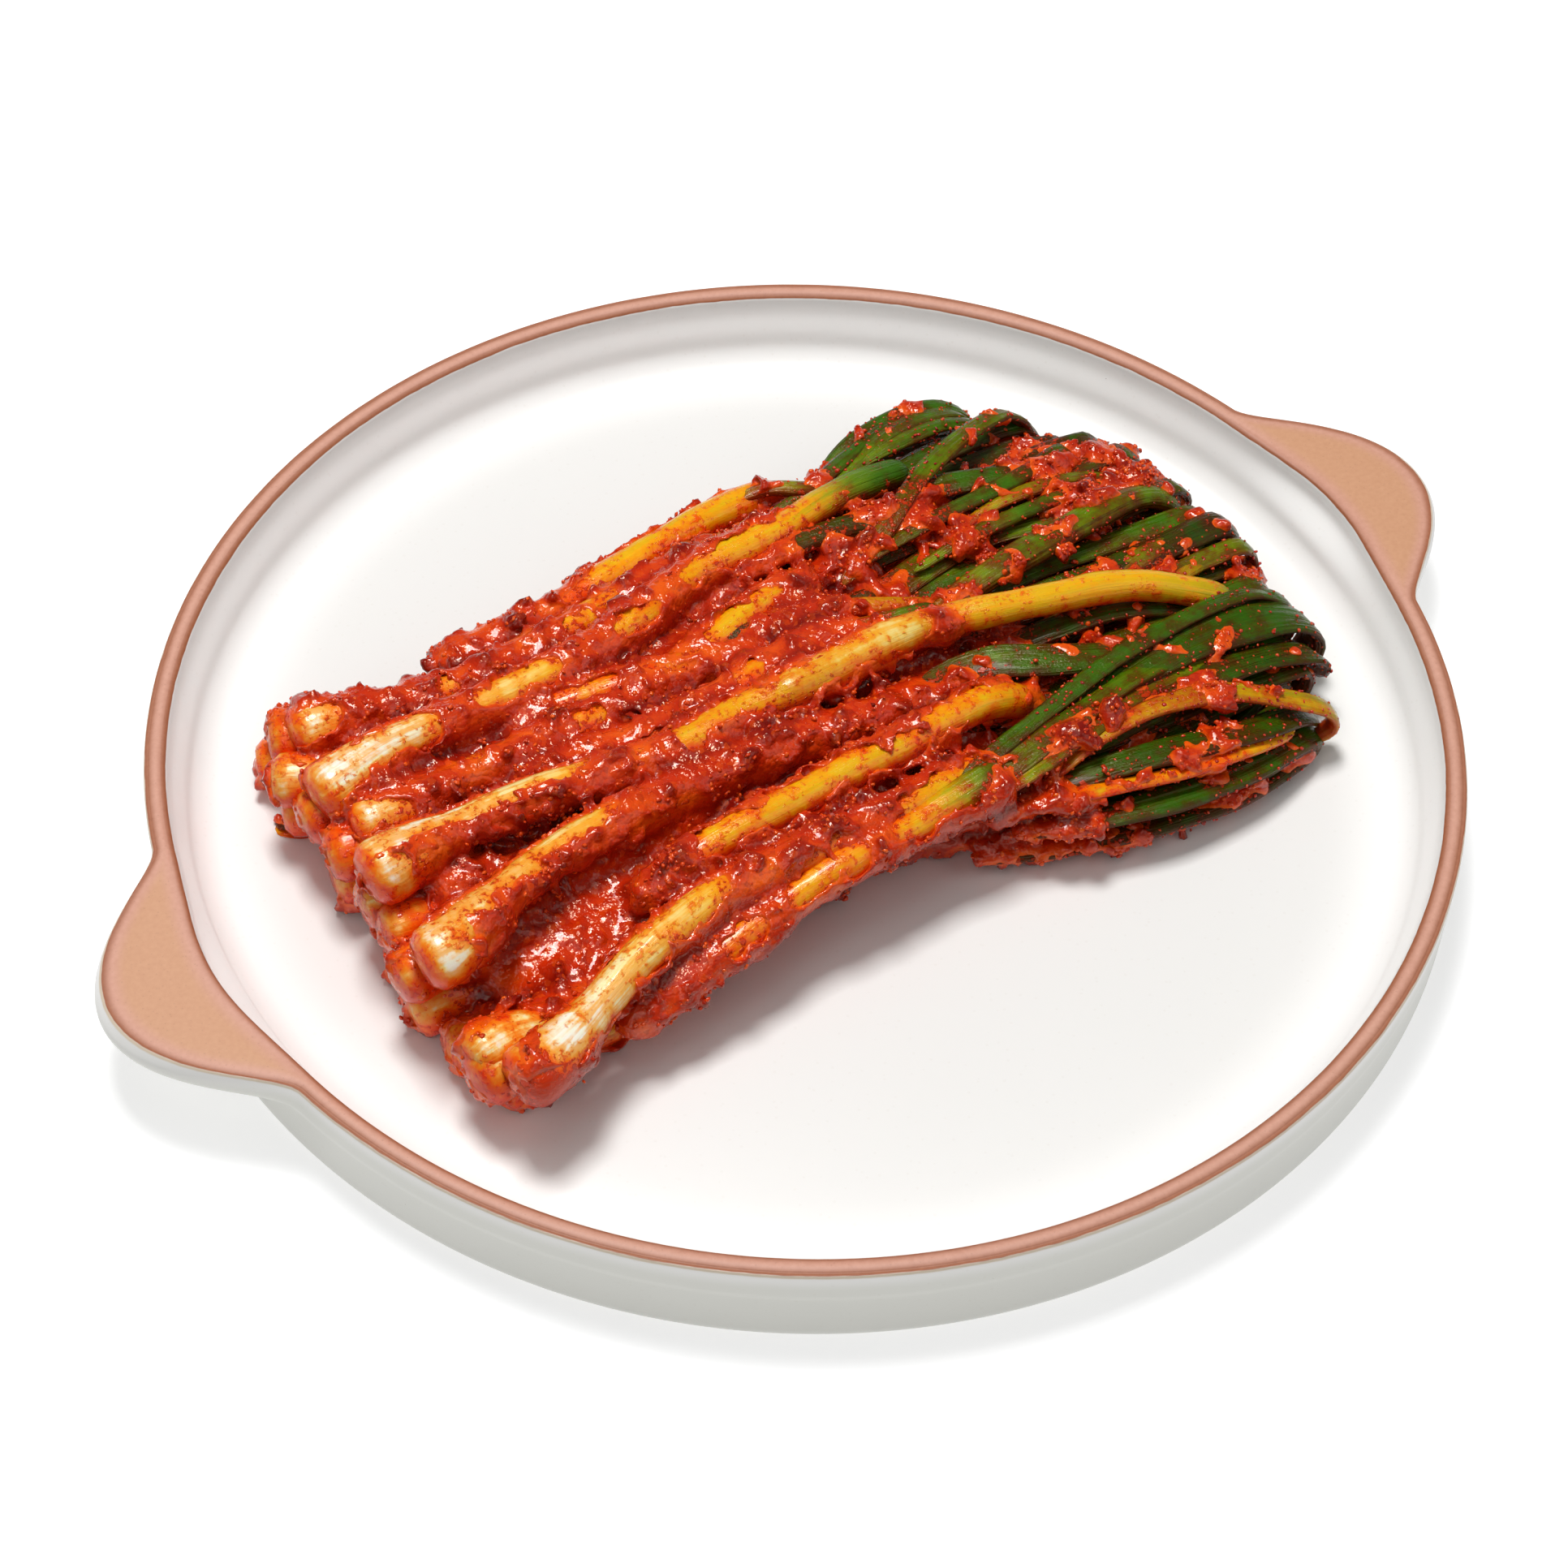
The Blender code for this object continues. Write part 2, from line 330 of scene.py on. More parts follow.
def tray_rows(angle):
    """The section's control points (row, angle, radius and height), from foot to floor.

    The lug's rows move out with lug_share, and its underside sweeps back to the wall.
    """
    share = lug_share(angle)
    reach = LUG_REACH * share
    swell = LUG_EDGE_SWELL * share
    inner = RIM_RADIUS - CLAY_BAND + LUG_INNER_BULGE * share**2
    level = np.ones_like(angle)
    top_in, top_out = inner + 1.3, RIM_RADIUS + reach - 0.9
    crown = 0.30 * (1.0 - 0.6 * share)
    rows = [
        (RIM_RADIUS - 6.0, 0.0),
        (RIM_RADIUS - 3.6, 0.0),
        (RIM_RADIUS - 1.5, 0.55),
        (RIM_RADIUS - 0.5, 2.2),
        (RIM_RADIUS - 0.25, 4.6),
        (RIM_RADIUS - 0.2, 9.0),
        (RIM_RADIUS - 0.2, LUG_UNDERSIDE),
        (RIM_RADIUS - 0.1 + 0.30 * reach, LUG_UNDERSIDE + 1.3),
        (RIM_RADIUS + 0.78 * reach, LUG_UNDERSIDE + 2.2),
        (RIM_RADIUS + reach + 0.6 * swell, LUG_UNDERSIDE + 3.8),
        (RIM_RADIUS + reach + swell, RIM_HEIGHT - 3.0),
        (RIM_RADIUS + reach + 0.35 * swell, RIM_HEIGHT - 1.0),
        (RIM_RADIUS + reach - 0.25, RIM_HEIGHT - 0.28),
    ]
    for t in (0.0, 0.12, 0.3, 0.5, 0.7, 0.88, 1.0):
        rows.append((top_out + (top_in - top_out) * t, RIM_HEIGHT - 0.30 + crown * 4 * t * (1 - t)))
    rows += [(inner + 0.45, RIM_HEIGHT - 0.95), (inner, RIM_HEIGHT - 2.4)]
    rows.append((inner - 0.7, RIM_HEIGHT - 5.0))
    fillet_x, fillet_z = RIM_RADIUS - CLAY_BAND - 2.6 - WALL_FILLET, FLOOR_HEIGHT + WALL_FILLET
    for turn in np.radians([-5.0, -30.0, -50.0, -70.0, -90.0]):
        rows.append((fillet_x + WALL_FILLET * math.cos(turn), fillet_z + WALL_FILLET * math.sin(turn)))
    rows.append((fillet_x - 4.0, FLOOR_HEIGHT))
    return np.array([[r * level, z * level] for r, z in rows]).transpose(0, 2, 1)


# The bare clay runs between these two of the rows.
FIRST_CLAY_ROW, LAST_CLAY_ROW = 12, 20


def tray_finish():
    """Satin glaze, the bare clay between its two borders, and a thin ochre line outside it.

    The glaze is greyed below the outer border as painted shade and lightened down the inner
    wall as painted light; the clay's pinker band near its borders is partly a painted sheen.
    """
    finish = Finish("glazed_stoneware")
    place = finish.place()
    outside = finish.attribute("from_outer_border")
    inside = finish.attribute("from_inner_border")
    waver = finish.noise(place, 160.0, 2.0) - 0.5
    outside = outside + waver * 0.5
    inside = inside + waver * 0.5
    depth = outside.least(inside)
    clay = depth.between(-0.12, 0.12)

    speckle = finish.cells(place, 420.0).between(0.10, 0.17)
    cloud = finish.noise(place, 9.0, 2.0)
    glaze = finish.mix(cloud, (0.80, 0.79, 0.765), (0.83, 0.82, 0.795))
    # Painted shade: below the clay's outer border the glaze greys, over the outer wall, the lugs'
    # undersides and the foot, where less light falls.
    glaze = finish.mix((0.0 - outside).between(1.0, 5.0) * 0.8, glaze, (0.68, 0.68, 0.62))
    # Painted light: down the inner wall, from just under the clay to the floor's edge, the glaze is
    # lightened as if lit from the side.
    wall = (0.0 - inside).between(0.5, 3.0) * (1.0 - (0.0 - inside).between(14.0, 34.0))
    glaze = finish.mix(wall * (1.0 - clay), glaze, (0.95, 0.94, 0.915))
    glaze = finish.mix((1.0 - speckle) * 0.05, glaze, (0.45, 0.36, 0.24))
    ochre = (outside + 0.55).between(-0.35, 0.1) * (1.0 - (outside + 0.1).between(0.0, 0.25))
    glaze = finish.mix(ochre * 0.55, glaze, (0.56, 0.36, 0.15))

    grain = finish.noise(place, 900.0, 3.0)
    middle = finish.mix(grain, (0.55, 0.265, 0.140), (0.64, 0.340, 0.195))
    # Nearer the borders and over the narrow rim the clay is pinker: partly its own tone, partly a painted
    # sheen of the rounded rim.
    rim_clay_and_sheen = finish.mix(grain, (0.56, 0.265, 0.180), (0.68, 0.360, 0.265))
    border = finish.mix(grain, (0.27, 0.075, 0.026), (0.38, 0.125, 0.048))
    body = finish.mix(depth.between(1.8, 5.5), rim_clay_and_sheen, middle)
    body = finish.mix((1.0 - depth.between(0.1, 2.4)) ** 1.2, body, border)
    iron = finish.cells(place, 800.0).between(0.08, 0.2)
    body = finish.mix((1.0 - iron) * 0.15, body, (0.22, 0.09, 0.05))

    color = finish.mix(clay, glaze, body)
    rough = 0.30 + clay * 0.22 + (grain - 0.5) * 0.1
    orange_peel = finish.noise(place, 260.0, 2.0)
    height = orange_peel * 0.35 + clay * grain * 0.5 - clay * 0.9
    return finish.surface(
        Base_Color=color,
        Roughness=rough,
        Normal=finish.bump(height, 0.00010, 0.35),
    )


def tray_piece():
    """The section carried round: (radius cos, radius sin, height), with a pole to close each end.

    The two attributes are the run along the section from the clay's outer and inner border.
    """
    angle = np.arange(TRAY_AROUND) * 2 * math.pi / TRAY_AROUND
    section = curve_through(tray_rows(angle), TRAY_FINER)
    inward = np.linspace(1.0, 0.0, TRAY_FLOOR_RINGS + 1)[1:-1, None]
    floor_radius, base_radius = section[-1, :, 0] * inward, section[0, :, 0] * inward[::-1]
    floor = np.stack([floor_radius, np.full_like(floor_radius, FLOOR_HEIGHT)], axis=-1)
    base = np.stack([base_radius, np.zeros_like(base_radius)], axis=-1)
    rows = np.concatenate([base, section, floor])
    radius, height = rows[..., 0], rows[..., 1]
    points = np.stack([radius * np.cos(angle), radius * np.sin(angle), height], axis=-1).reshape(-1, 3)
    base_pole, floor_pole = len(points), len(points) + 1
    points = np.concatenate([points, [[0.0, 0.0, 0.0], [0.0, 0.0, FLOOR_HEIGHT]]])
    quads = ring_faces(len(rows), TRAY_AROUND)
    first = np.arange(TRAY_AROUND)
    after = np.roll(first, -1)
    last = (len(rows) - 1) * TRAY_AROUND
    under = np.stack([np.full(TRAY_AROUND, base_pole), after, first], axis=-1)
    inner = np.stack([np.full(TRAY_AROUND, floor_pole), last + first, last + after], axis=-1)

    length = np.zeros(radius.shape)
    length[1:] = np.cumsum(np.hypot(np.diff(radius, axis=0), np.diff(height, axis=0)), axis=0)
    clay_start = length[len(base) + FIRST_CLAY_ROW * TRAY_FINER]
    clay_end = length[len(base) + LAST_CLAY_ROW * TRAY_FINER]
    far_outside = [-99.0, -99.0]
    outer = np.append((length - clay_start).ravel(), far_outside)
    within = np.append((clay_end - length).ravel(), far_outside)
    attributes = [("from_outer_border", "FLOAT", outer), ("from_inner_border", "FLOAT", within)]
    caps = np.concatenate([under, inner])
    piece = new_piece("stoneware_tray", points, quads, caps, tray_finish(), attributes)
    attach(piece, "root")
    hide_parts("tray")


tray_piece()


# ---- Scallions ---------------------------------------------------------------------------
# Thirty scallions with bulbs lie side by side, all roots at -X, and five more show as
# lengths of stem. Each is a tube that swells into a fat white bulb with a cut-off root
# plate, and turns from white through yellow to green.

heap_low, heap_high = (np.array(corner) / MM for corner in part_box("scallion_bundle"))
STALK_STEP = 1.7
STALK_AROUND = 18
LEAF_STEP = 1.9
LEAF_AROUND = 14
STEM = 4.1
BULB = 6.8
WHOLE_BULB = 6.0


def rise_between(low, high, x):
    """0 below low, 1 above high and an even S-shaped rise between."""
    t = np.clip((x - low) / (high - low), 0.0, 1.0)
    return t * t * (3.0 - 2.0 * t)


def heap_middle(x):
    """Y of the heap's middle line, as in the CAD solid."""
    return 2.0 - 4.0 * rise_between(-105.0, -75.0, x) + 12.0 * rise_between(-72.0, 10.0, x)


def heap_half(x):
    """Half of the heap's width: drawn in at the waist and spread at both ends."""
    return 61.0 - 15.0 * rise_between(-110.0, -62.0, x) + 16.0 * rise_between(-10.0, 58.0, x)


def heap_rise(x):
    """Height of the heap's crest over the tray's floor."""
    fall = 3.0 * rise_between(-110.0, -62.0, x) + 5.0 * rise_between(-10.0, 58.0, x)
    return 33.0 - fall - 12.0 * rise_between(84.0, 118.0, x)


def even_path(points, step):
    """The smooth curve through a few places, cut at an even step; also the run along it."""
    fine = curve_through(np.array(points, dtype=float), 12)
    run = np.append(0.0, np.cumsum(np.linalg.norm(np.diff(fine, axis=0), axis=1)))
    even = np.linspace(0.0, run[-1], max(6, int(run[-1] / step)))
    return np.stack([np.interp(even, run, fine[:, k]) for k in range(3)], axis=1), even


class Strands:
    """Stalks or leaves gathered into one mesh, with what their finish needs at each point.

    skin is the place on the unrolled skin, tone the colour along the scallion, and soak how
    much chilli oil has drawn in, more on the underside.
    """

    def __init__(self, around):
        self.around = around
        self.points, self.quads, self.triangles = [], [], []
        self.skin, self.tone, self.soak = [], [], []
        self.count = 0
        self.made = 0

    def add(self, path, run, wide, thick, tone, crease=0.0, twist=0.0, soak=0.0):
        """A closed tube: at each place an ellipse, wide across and thick upwards.

        side = the path's own level direction across it, kept square to the path;
        up = path direction x side; the crease lifts both edges of a leaf over its middle.
        """
        ahead = np.gradient(path, axis=0)
        ahead /= np.linalg.norm(ahead, axis=1, keepdims=True)
        far = path[np.argmax(np.linalg.norm(path - path[0], axis=1))] - path[0]
        level = np.cross([0.0, 0.0, 1.0], far)
        level = level / np.linalg.norm(level)
        side = level - ahead * (ahead @ level)[:, None]
        side /= np.linalg.norm(side, axis=1, keepdims=True)
        up = np.cross(ahead, side)
        twist = np.broadcast_to(twist, run.shape)[:, None]
        cos, sin = np.cos(twist), np.sin(twist)
        side, up = side * cos + up * sin, up * cos - side * sin
        turn = (np.arange(self.around) + 0.5) * 2 * math.pi / self.around - math.pi / 2
        wide, thick = (np.broadcast_to(part, run.shape)[:, None] for part in (wide, thick))
        across = wide * np.cos(turn)
        height = thick * np.sin(turn) + crease * wide * (np.abs(np.cos(turn)) - 0.5)
        rings = path[:, None] + side[:, None] * across[..., None] + up[:, None] * height[..., None]
        ends = np.stack([path[0] - ahead[0] * thick[0] * 0.15, path[-1] + ahead[-1] * thick[-1] * 0.3])
        first = self.count
        self.points.append(np.concatenate([rings.reshape(-1, 3), ends]))
        self.quads.append(ring_faces(len(path), self.around, first))
        start = first + np.arange(self.around)
        last = start + (len(path) - 1) * self.around
        pole = np.full(self.around, first + len(path) * self.around)
        self.triangles.append(np.stack([pole, np.roll(start, -1), start], axis=-1))
        self.triangles.append(np.stack([pole + 1, last, np.roll(last, -1)], axis=-1))
        girth = np.maximum(wide, thick)
        skin = np.stack(np.broadcast_arrays(turn * girth.max(), run[:, None], self.made * 37.0), axis=-1)
        self.skin.append(np.concatenate([skin.reshape(-1, 3), skin[0, :1], skin[-1, :1]]))
        tone, soak = np.broadcast_to(tone, run.shape), np.broadcast_to(soak, run.shape)
        under = 0.5 * np.clip(0.8 - np.sin(turn), 0.0, 2.0)
        self.tone.append(np.concatenate([np.repeat(tone, self.around), tone[[0, -1]]]))
        self.soak.append(np.concatenate([np.ravel(soak[:, None] + under), soak[[0, -1]]]))
        self.count += len(path) * self.around + 2
        self.made += 1

    def arrays(self):
        """Points, four-cornered and three-cornered faces of the whole."""
        return (np.concatenate(part) for part in (self.points, self.quads, self.triangles))


def bulb_girth(run, bulb, stem):
    """Radius along a stalk: a blunt root plate, a bulb about 4 mm in, then the slim stem."""
    swell = stem + (bulb - stem) * np.exp(-(np.clip(run - 4.0, 0.0, None) / 11.0) ** 2)
    blunt = 0.72 + 0.28 * np.sqrt(1.0 - (1.0 - np.clip(run / 3.0, 0.0, 1.0)) ** 2)
    return swell * blunt * (1.0 - 0.15 * rise_between(100.0, 150.0, run))


def stalk_tone(run, green_from):
    """0 white at the bulb, 0.5 yellow, 1 full green, by the run from the root."""
    return 0.5 * rise_between(8.0, 80.0, run) + 0.5 * rise_between(green_from, green_from + 45.0, run)


# The upper stalks, each (bulb, stem, run where it turns green, places x y z from the root,
# bare stretches), and each stretch (from x, to x, turn from the top towards -Y, half width).
UPPER_STALKS = (
    (7.0, 4.3, 118.0,
     ((-103, 24, 31), (-97, 25, 31.5), (-86, 27, 33), (-74, 29, 32), (-58, 30, 31), (-40, 32, 31),
      (-22, 36, 31), (-5, 42, 30.5), (10, 44, 30.5), (20, 45, 30.5), (31, 48, 30), (42, 50, 29),
      (56, 51, 27)),
     ((-105, -94, 5, 5.0), (-96, -77, 12, 3.6), (-61, -45, 20, 2.6), (-28, -16, 30, 1.6),
      (-7, 19, 25, 2.6), (23, 58, 25, 3.4))),
    (7.2, 4.3, 182.0,
     ((-104, -2, 33), (-98, -1.5, 33.5), (-90, -0.5, 34), (-78, 0.5, 34), (-68, 1, 33.5), (-55, 0, 33),
      (-40, -1, 32), (-28, -1, 32), (-15, 1, 32.5), (-2, 0.5, 33), (10, 1.5, 33), (22, 2.5, 33.5),
      (34, 1.5, 34), (48, -2, 34.5), (60, -4.5, 34), (70, -6, 33), (80, -8.5, 31), (90, -13, 28),
      (98, -17, 24)),
     ((-106, -99, 55, 4.2), (-104, -54, -25, 2.7), (-29, -14, 0, 3.0), (43, 101, 30, 6.5))),
    (7.2, 4.2, 400.0,
     ((-104, -27, 33.5), (-98, -26.5, 34), (-90, -23, 34.5), (-80, -19, 34), (-70, -15.5, 33.5),
      (-60, -13.5, 33), (-50, -12.5, 32.5), (-38, -10.5, 30.5), (-20, -9, 29), (0, -10, 28.5),
      (18, -11, 27)),
     ((-106, -98, 50, 4.2), (-104, -54, -20, 2.7))),
    (6.9, 4.2, 150.0,
     ((-99, -57, 26), (-92, -55.5, 26.5), (-84, -52.5, 27.5), (-75, -48.5, 28.5), (-65, -44, 29.5),
      (-55, -41, 30), (-48, -39, 30), (-40, -37.5, 30), (-20, -36.5, 29), (0, -36, 28.5), (12, -34, 28),
      (26, -31, 27)),
     ((-86, -72, 25, 6.0), (-72, -47, 10, 4.6), (-45, -41, 10, 2.5), (2, 20, 30, 2.2))),
    (5.0, 4.0, 128.0,
     ((-58, -30, 27), (-50, -28.5, 29.5), (-39, -27, 31.5), (-20, -25.5, 32), (-5, -24, 32),
      (10, -23, 32), (22, -21.5, 32), (33, -20.5, 30.5), (42, -20.5, 25), (46, -21, 21)),
     ((-39, -33, 20, 3.6), (-31, -28, 20, 2.4), (-25, -4, 15, 3.6), (-2, 3, 35, 1.8), (6, 12, 40, 2.2),
      (17, 31, 15, 3.4))),
    (5.0, 4.0, 110.0,
     ((-72, -50, 18), (-58, -48, 21), (-45, -46, 23.5), (-28, -43, 26), (-14, -41.5, 27.5),
      (0, -40.5, 28), (12, -39, 28.5), (26, -37, 29)),
     ((-45, -39, 20, 2.0), (-29, -13, 20, 3.2), (-4, 26, 15, 2.8))),
    (6.8, 4.1, 400.0,
     ((-104, -49, 20.5), (-97, -47.5, 20.5), (-86, -43.5, 19), (-72, -39, 18.5), (-58, -35, 18.5),
      (-40, -31, 20), (-20, -28, 22), (10, -26, 24)),
     ((-104, -90, 5, 4.5),)),
    (5.0, 3.9, 150.0,
     ((-62, 52, 22), (-45, 52, 24), (-30, 53, 24.5), (-18, 55.5, 25), (-6, 58, 25), (4, 60, 25),
      (14, 62, 24), (30, 64, 22)),
     ((-30, -24, 20, 2.2), (-17, 18, 10, 4.5))),
    (6.6, 4.0, 400.0,
     ((-99, 44, 28), (-93, 43.5, 28.5), (-80, 41, 29), (-65, 39.5, 28.5), (-48, 41, 28), (-30, 44, 28),
      (-10, 48, 27), (10, 50, 26)),
     ((-99, -92, 20, 2.4), (-66, -61, 20, 1.6), (-34, -29, 30, 2.4))),
    (6.4, 4.0, 400.0,
     ((-99, 15, 28), (-93, 14.5, 28.5), (-80, 15, 29), (-65, 16, 29), (-48, 17, 28.5), (-30, 19, 28),
      (-10, 24, 28.5), (6, 29, 29), (20, 31, 28)),
     ((-100, -95, 10, 2.6), (-92, -89, 30, 2.4), (-45, -41, 35, 1.8), (-19, -15, 20, 1.6),
      (-10, 9, 20, 2.4))),
    (5.5, 4.0, 110.0,
     ((-66, 8, 27), (-50, 9, 28), (-34, 7.5, 28.5), (-20, 8, 30), (-10, 9.5, 30.5), (0, 11, 30.5),
      (12, 11, 30), (26, 8, 30), (38, 6.5, 30)),
     ((-37, -33, 50, 2.0), (-12, -4, 10, 2.2), (26, 36, 0, 2.5))),
    (5.5, 3.9, 90.0,
     ((-60, 24, 27), (-48, 24, 28.5), (-38, 23, 29), (-28, 21.5, 29), (-14, 20, 29), (0, 16, 28)),
     ((-46, -36, 10, 1.4),)),
)

# Rows under the upper stalks fill the heap: (height of the bulbs, of the stems, how many,
# first and last share of the half width). The bed row lies right under the upper stalks. One
# is left out of the second row, where paste fills a deep hollow.
LOWER_ROWS = ((13.2, 10.8, 9, -0.93, 0.93), (23.6, 18.6, 9, -0.86, 0.86))
BED_ROW = (26.0, 24.0, 6, -0.36, 0.68)
ROOT_END = -105.0
rng = np.random.default_rng(7)

stalks = Strands(STALK_AROUND)
bare_lines = []


def rounded(run, length, least):
    """Quarter of an ellipse, 0 at an end and 1 from the length on: sqrt(1 - (1 - run / length)^2)."""
    return np.sqrt(1.0 - (1.0 - np.clip(run / length, least, 1.0)) ** 2)


def bare_line(path, girth, first, last, turn_deg, width):
    """Points on a stalk's skin along a stretch, turned from its top towards -Y."""
    turn = math.radians(turn_deg)
    out = np.array([0.0, -math.sin(turn), math.cos(turn)])
    inside = (path[:, 0] >= first) & (path[:, 0] <= last)
    return path[inside] + out * girth[inside, None], width


for bulb, stem, green_from, places, bare in UPPER_STALKS:
    path, run = even_path(places, STALK_STEP)
    whole = bulb > WHOLE_BULB
    girth = bulb_girth(run, bulb, stem) if whole else stem * rounded(run, 6.0, 0.05)
    tip = rounded(run[-1] - run, 5.0, 0.02)
    tone = stalk_tone(run if whole else run + 45.0, green_from)
    soak = 0.02 + 0.70 * (1.0 - rise_between(0.8, 3.2, run)) if whole else 0.15
    girth = girth * tip * (1.0 + 0.035 * np.sin(run / 5.3 + green_from) + 0.02 * np.sin(run / 2.1))
    stalks.add(path, run, girth, girth * 0.94, tone, soak=soak)
    bare_lines += [bare_line(path, girth, *stretch) for stretch in bare]

# The pale outer sheath that ends half way along the second upper stalk.
SHEATH = ((-12, 1, 32), (-4, 1, 32.6), (8, 1.6, 33), (20, 2.6, 33.4), (29, 2.4, 33.6), (34, 1.8, 33.8))
path, run = even_path(SHEATH, STALK_STEP)
girth = 4.9 * rounded(run, 9.0, 0.05) - 1.0 * rise_between(28.0, 46.0, run)
stalks.add(path, run, girth, girth * 0.95, 0.28, soak=0.2)
bare_lines.append(bare_line(path, girth, -5.0, 25.5, 20.0, 4.4))

# A dark scrap of leaf and under it a smear of chilli oil, stuck to the tray's floor by the
# back root corner: (places, half width, half thickness, tone, soak).
SCRAPS = (
    (((-98.5, 37, 7.8), (-102.5, 38.6, 7.5), (-106.2, 41.4, 7.3)), 1.7, 0.55, 1.05, 0.9),
    (((-98.5, 36, 6.66), (-102.5, 37.6, 6.66), (-106.5, 40.9, 6.66)), 2.3, 0.12, 0.40, 0.5),
)
for places, wide, thick, tone, soak in SCRAPS:
    path, run = even_path(places, 0.8)
    pinch = np.sqrt(1.0 - (2.0 * run / run[-1] - 1.0) ** 4 * 0.97)
    stalks.add(path, run, wide * pinch, thick * pinch, tone, soak=soak)

for bulb_height, stem_height, count, first_share, last_share in (*LOWER_ROWS, BED_ROW):
    for share in np.linspace(first_share, last_share, count):
        share = share + rng.uniform(-0.03, 0.03)
        if stem_height == LOWER_ROWS[1][1] and -0.75 < share < -0.5:
            continue
        bed = stem_height == BED_ROW[1]
        start = ROOT_END + rng.uniform(-3.0, 4.0) + (10.0 if bed else 0.0) + 4.0 * abs(share) ** 3
        xs = np.append(np.linspace(start, -70.0, 5), [-45.0, -20.0, 5.0, 30.0])
        room = heap_half(xs) - np.where(xs < -85.0, 6.0, 4.4)
        ys = heap_middle(xs) + share * room + rng.uniform(-1.2, 1.2, len(xs))
        drop = rise_between(-100.0, -72.0, xs)
        zs = bulb_height + (stem_height - bulb_height) * drop + rng.uniform(-0.5, 0.5, len(xs))
        path, run = even_path(np.stack([xs, ys, zs], axis=1), STALK_STEP)
        bulb, stem = BULB * rng.uniform(0.86, 1.04), STEM * rng.uniform(0.9, 1.06)
        girth = bulb_girth(run, bulb, stem)
        path[:, 2] = np.maximum(path[:, 2], FLOOR_HEIGHT + girth * 0.94 + 0.1)
        tone = stalk_tone(run, rng.uniform(70.0, 120.0))
        stalks.add(path, run, girth, girth * 0.94, tone, soak=rng.uniform(0.15, 0.55))
        if not bed:
            glimpse = rng.uniform(-88.0, -10.0)
            root = (start - 4, start + rng.uniform(0, 9), rng.uniform(0, 80), 3.0)
            stretch = (glimpse, glimpse + rng.uniform(6, 20), 65.0, 2.2)
            bare_lines += [bare_line(path, girth, *place) for place in (root, stretch)]


# ---- Leaves ------------------------------------------------------------------------------
# The hollow green leaves, pressed nearly flat, run on from the stalks and are folded under
# at +X, so that the heap ends in nested U-turns. The upper ones cross over each other.

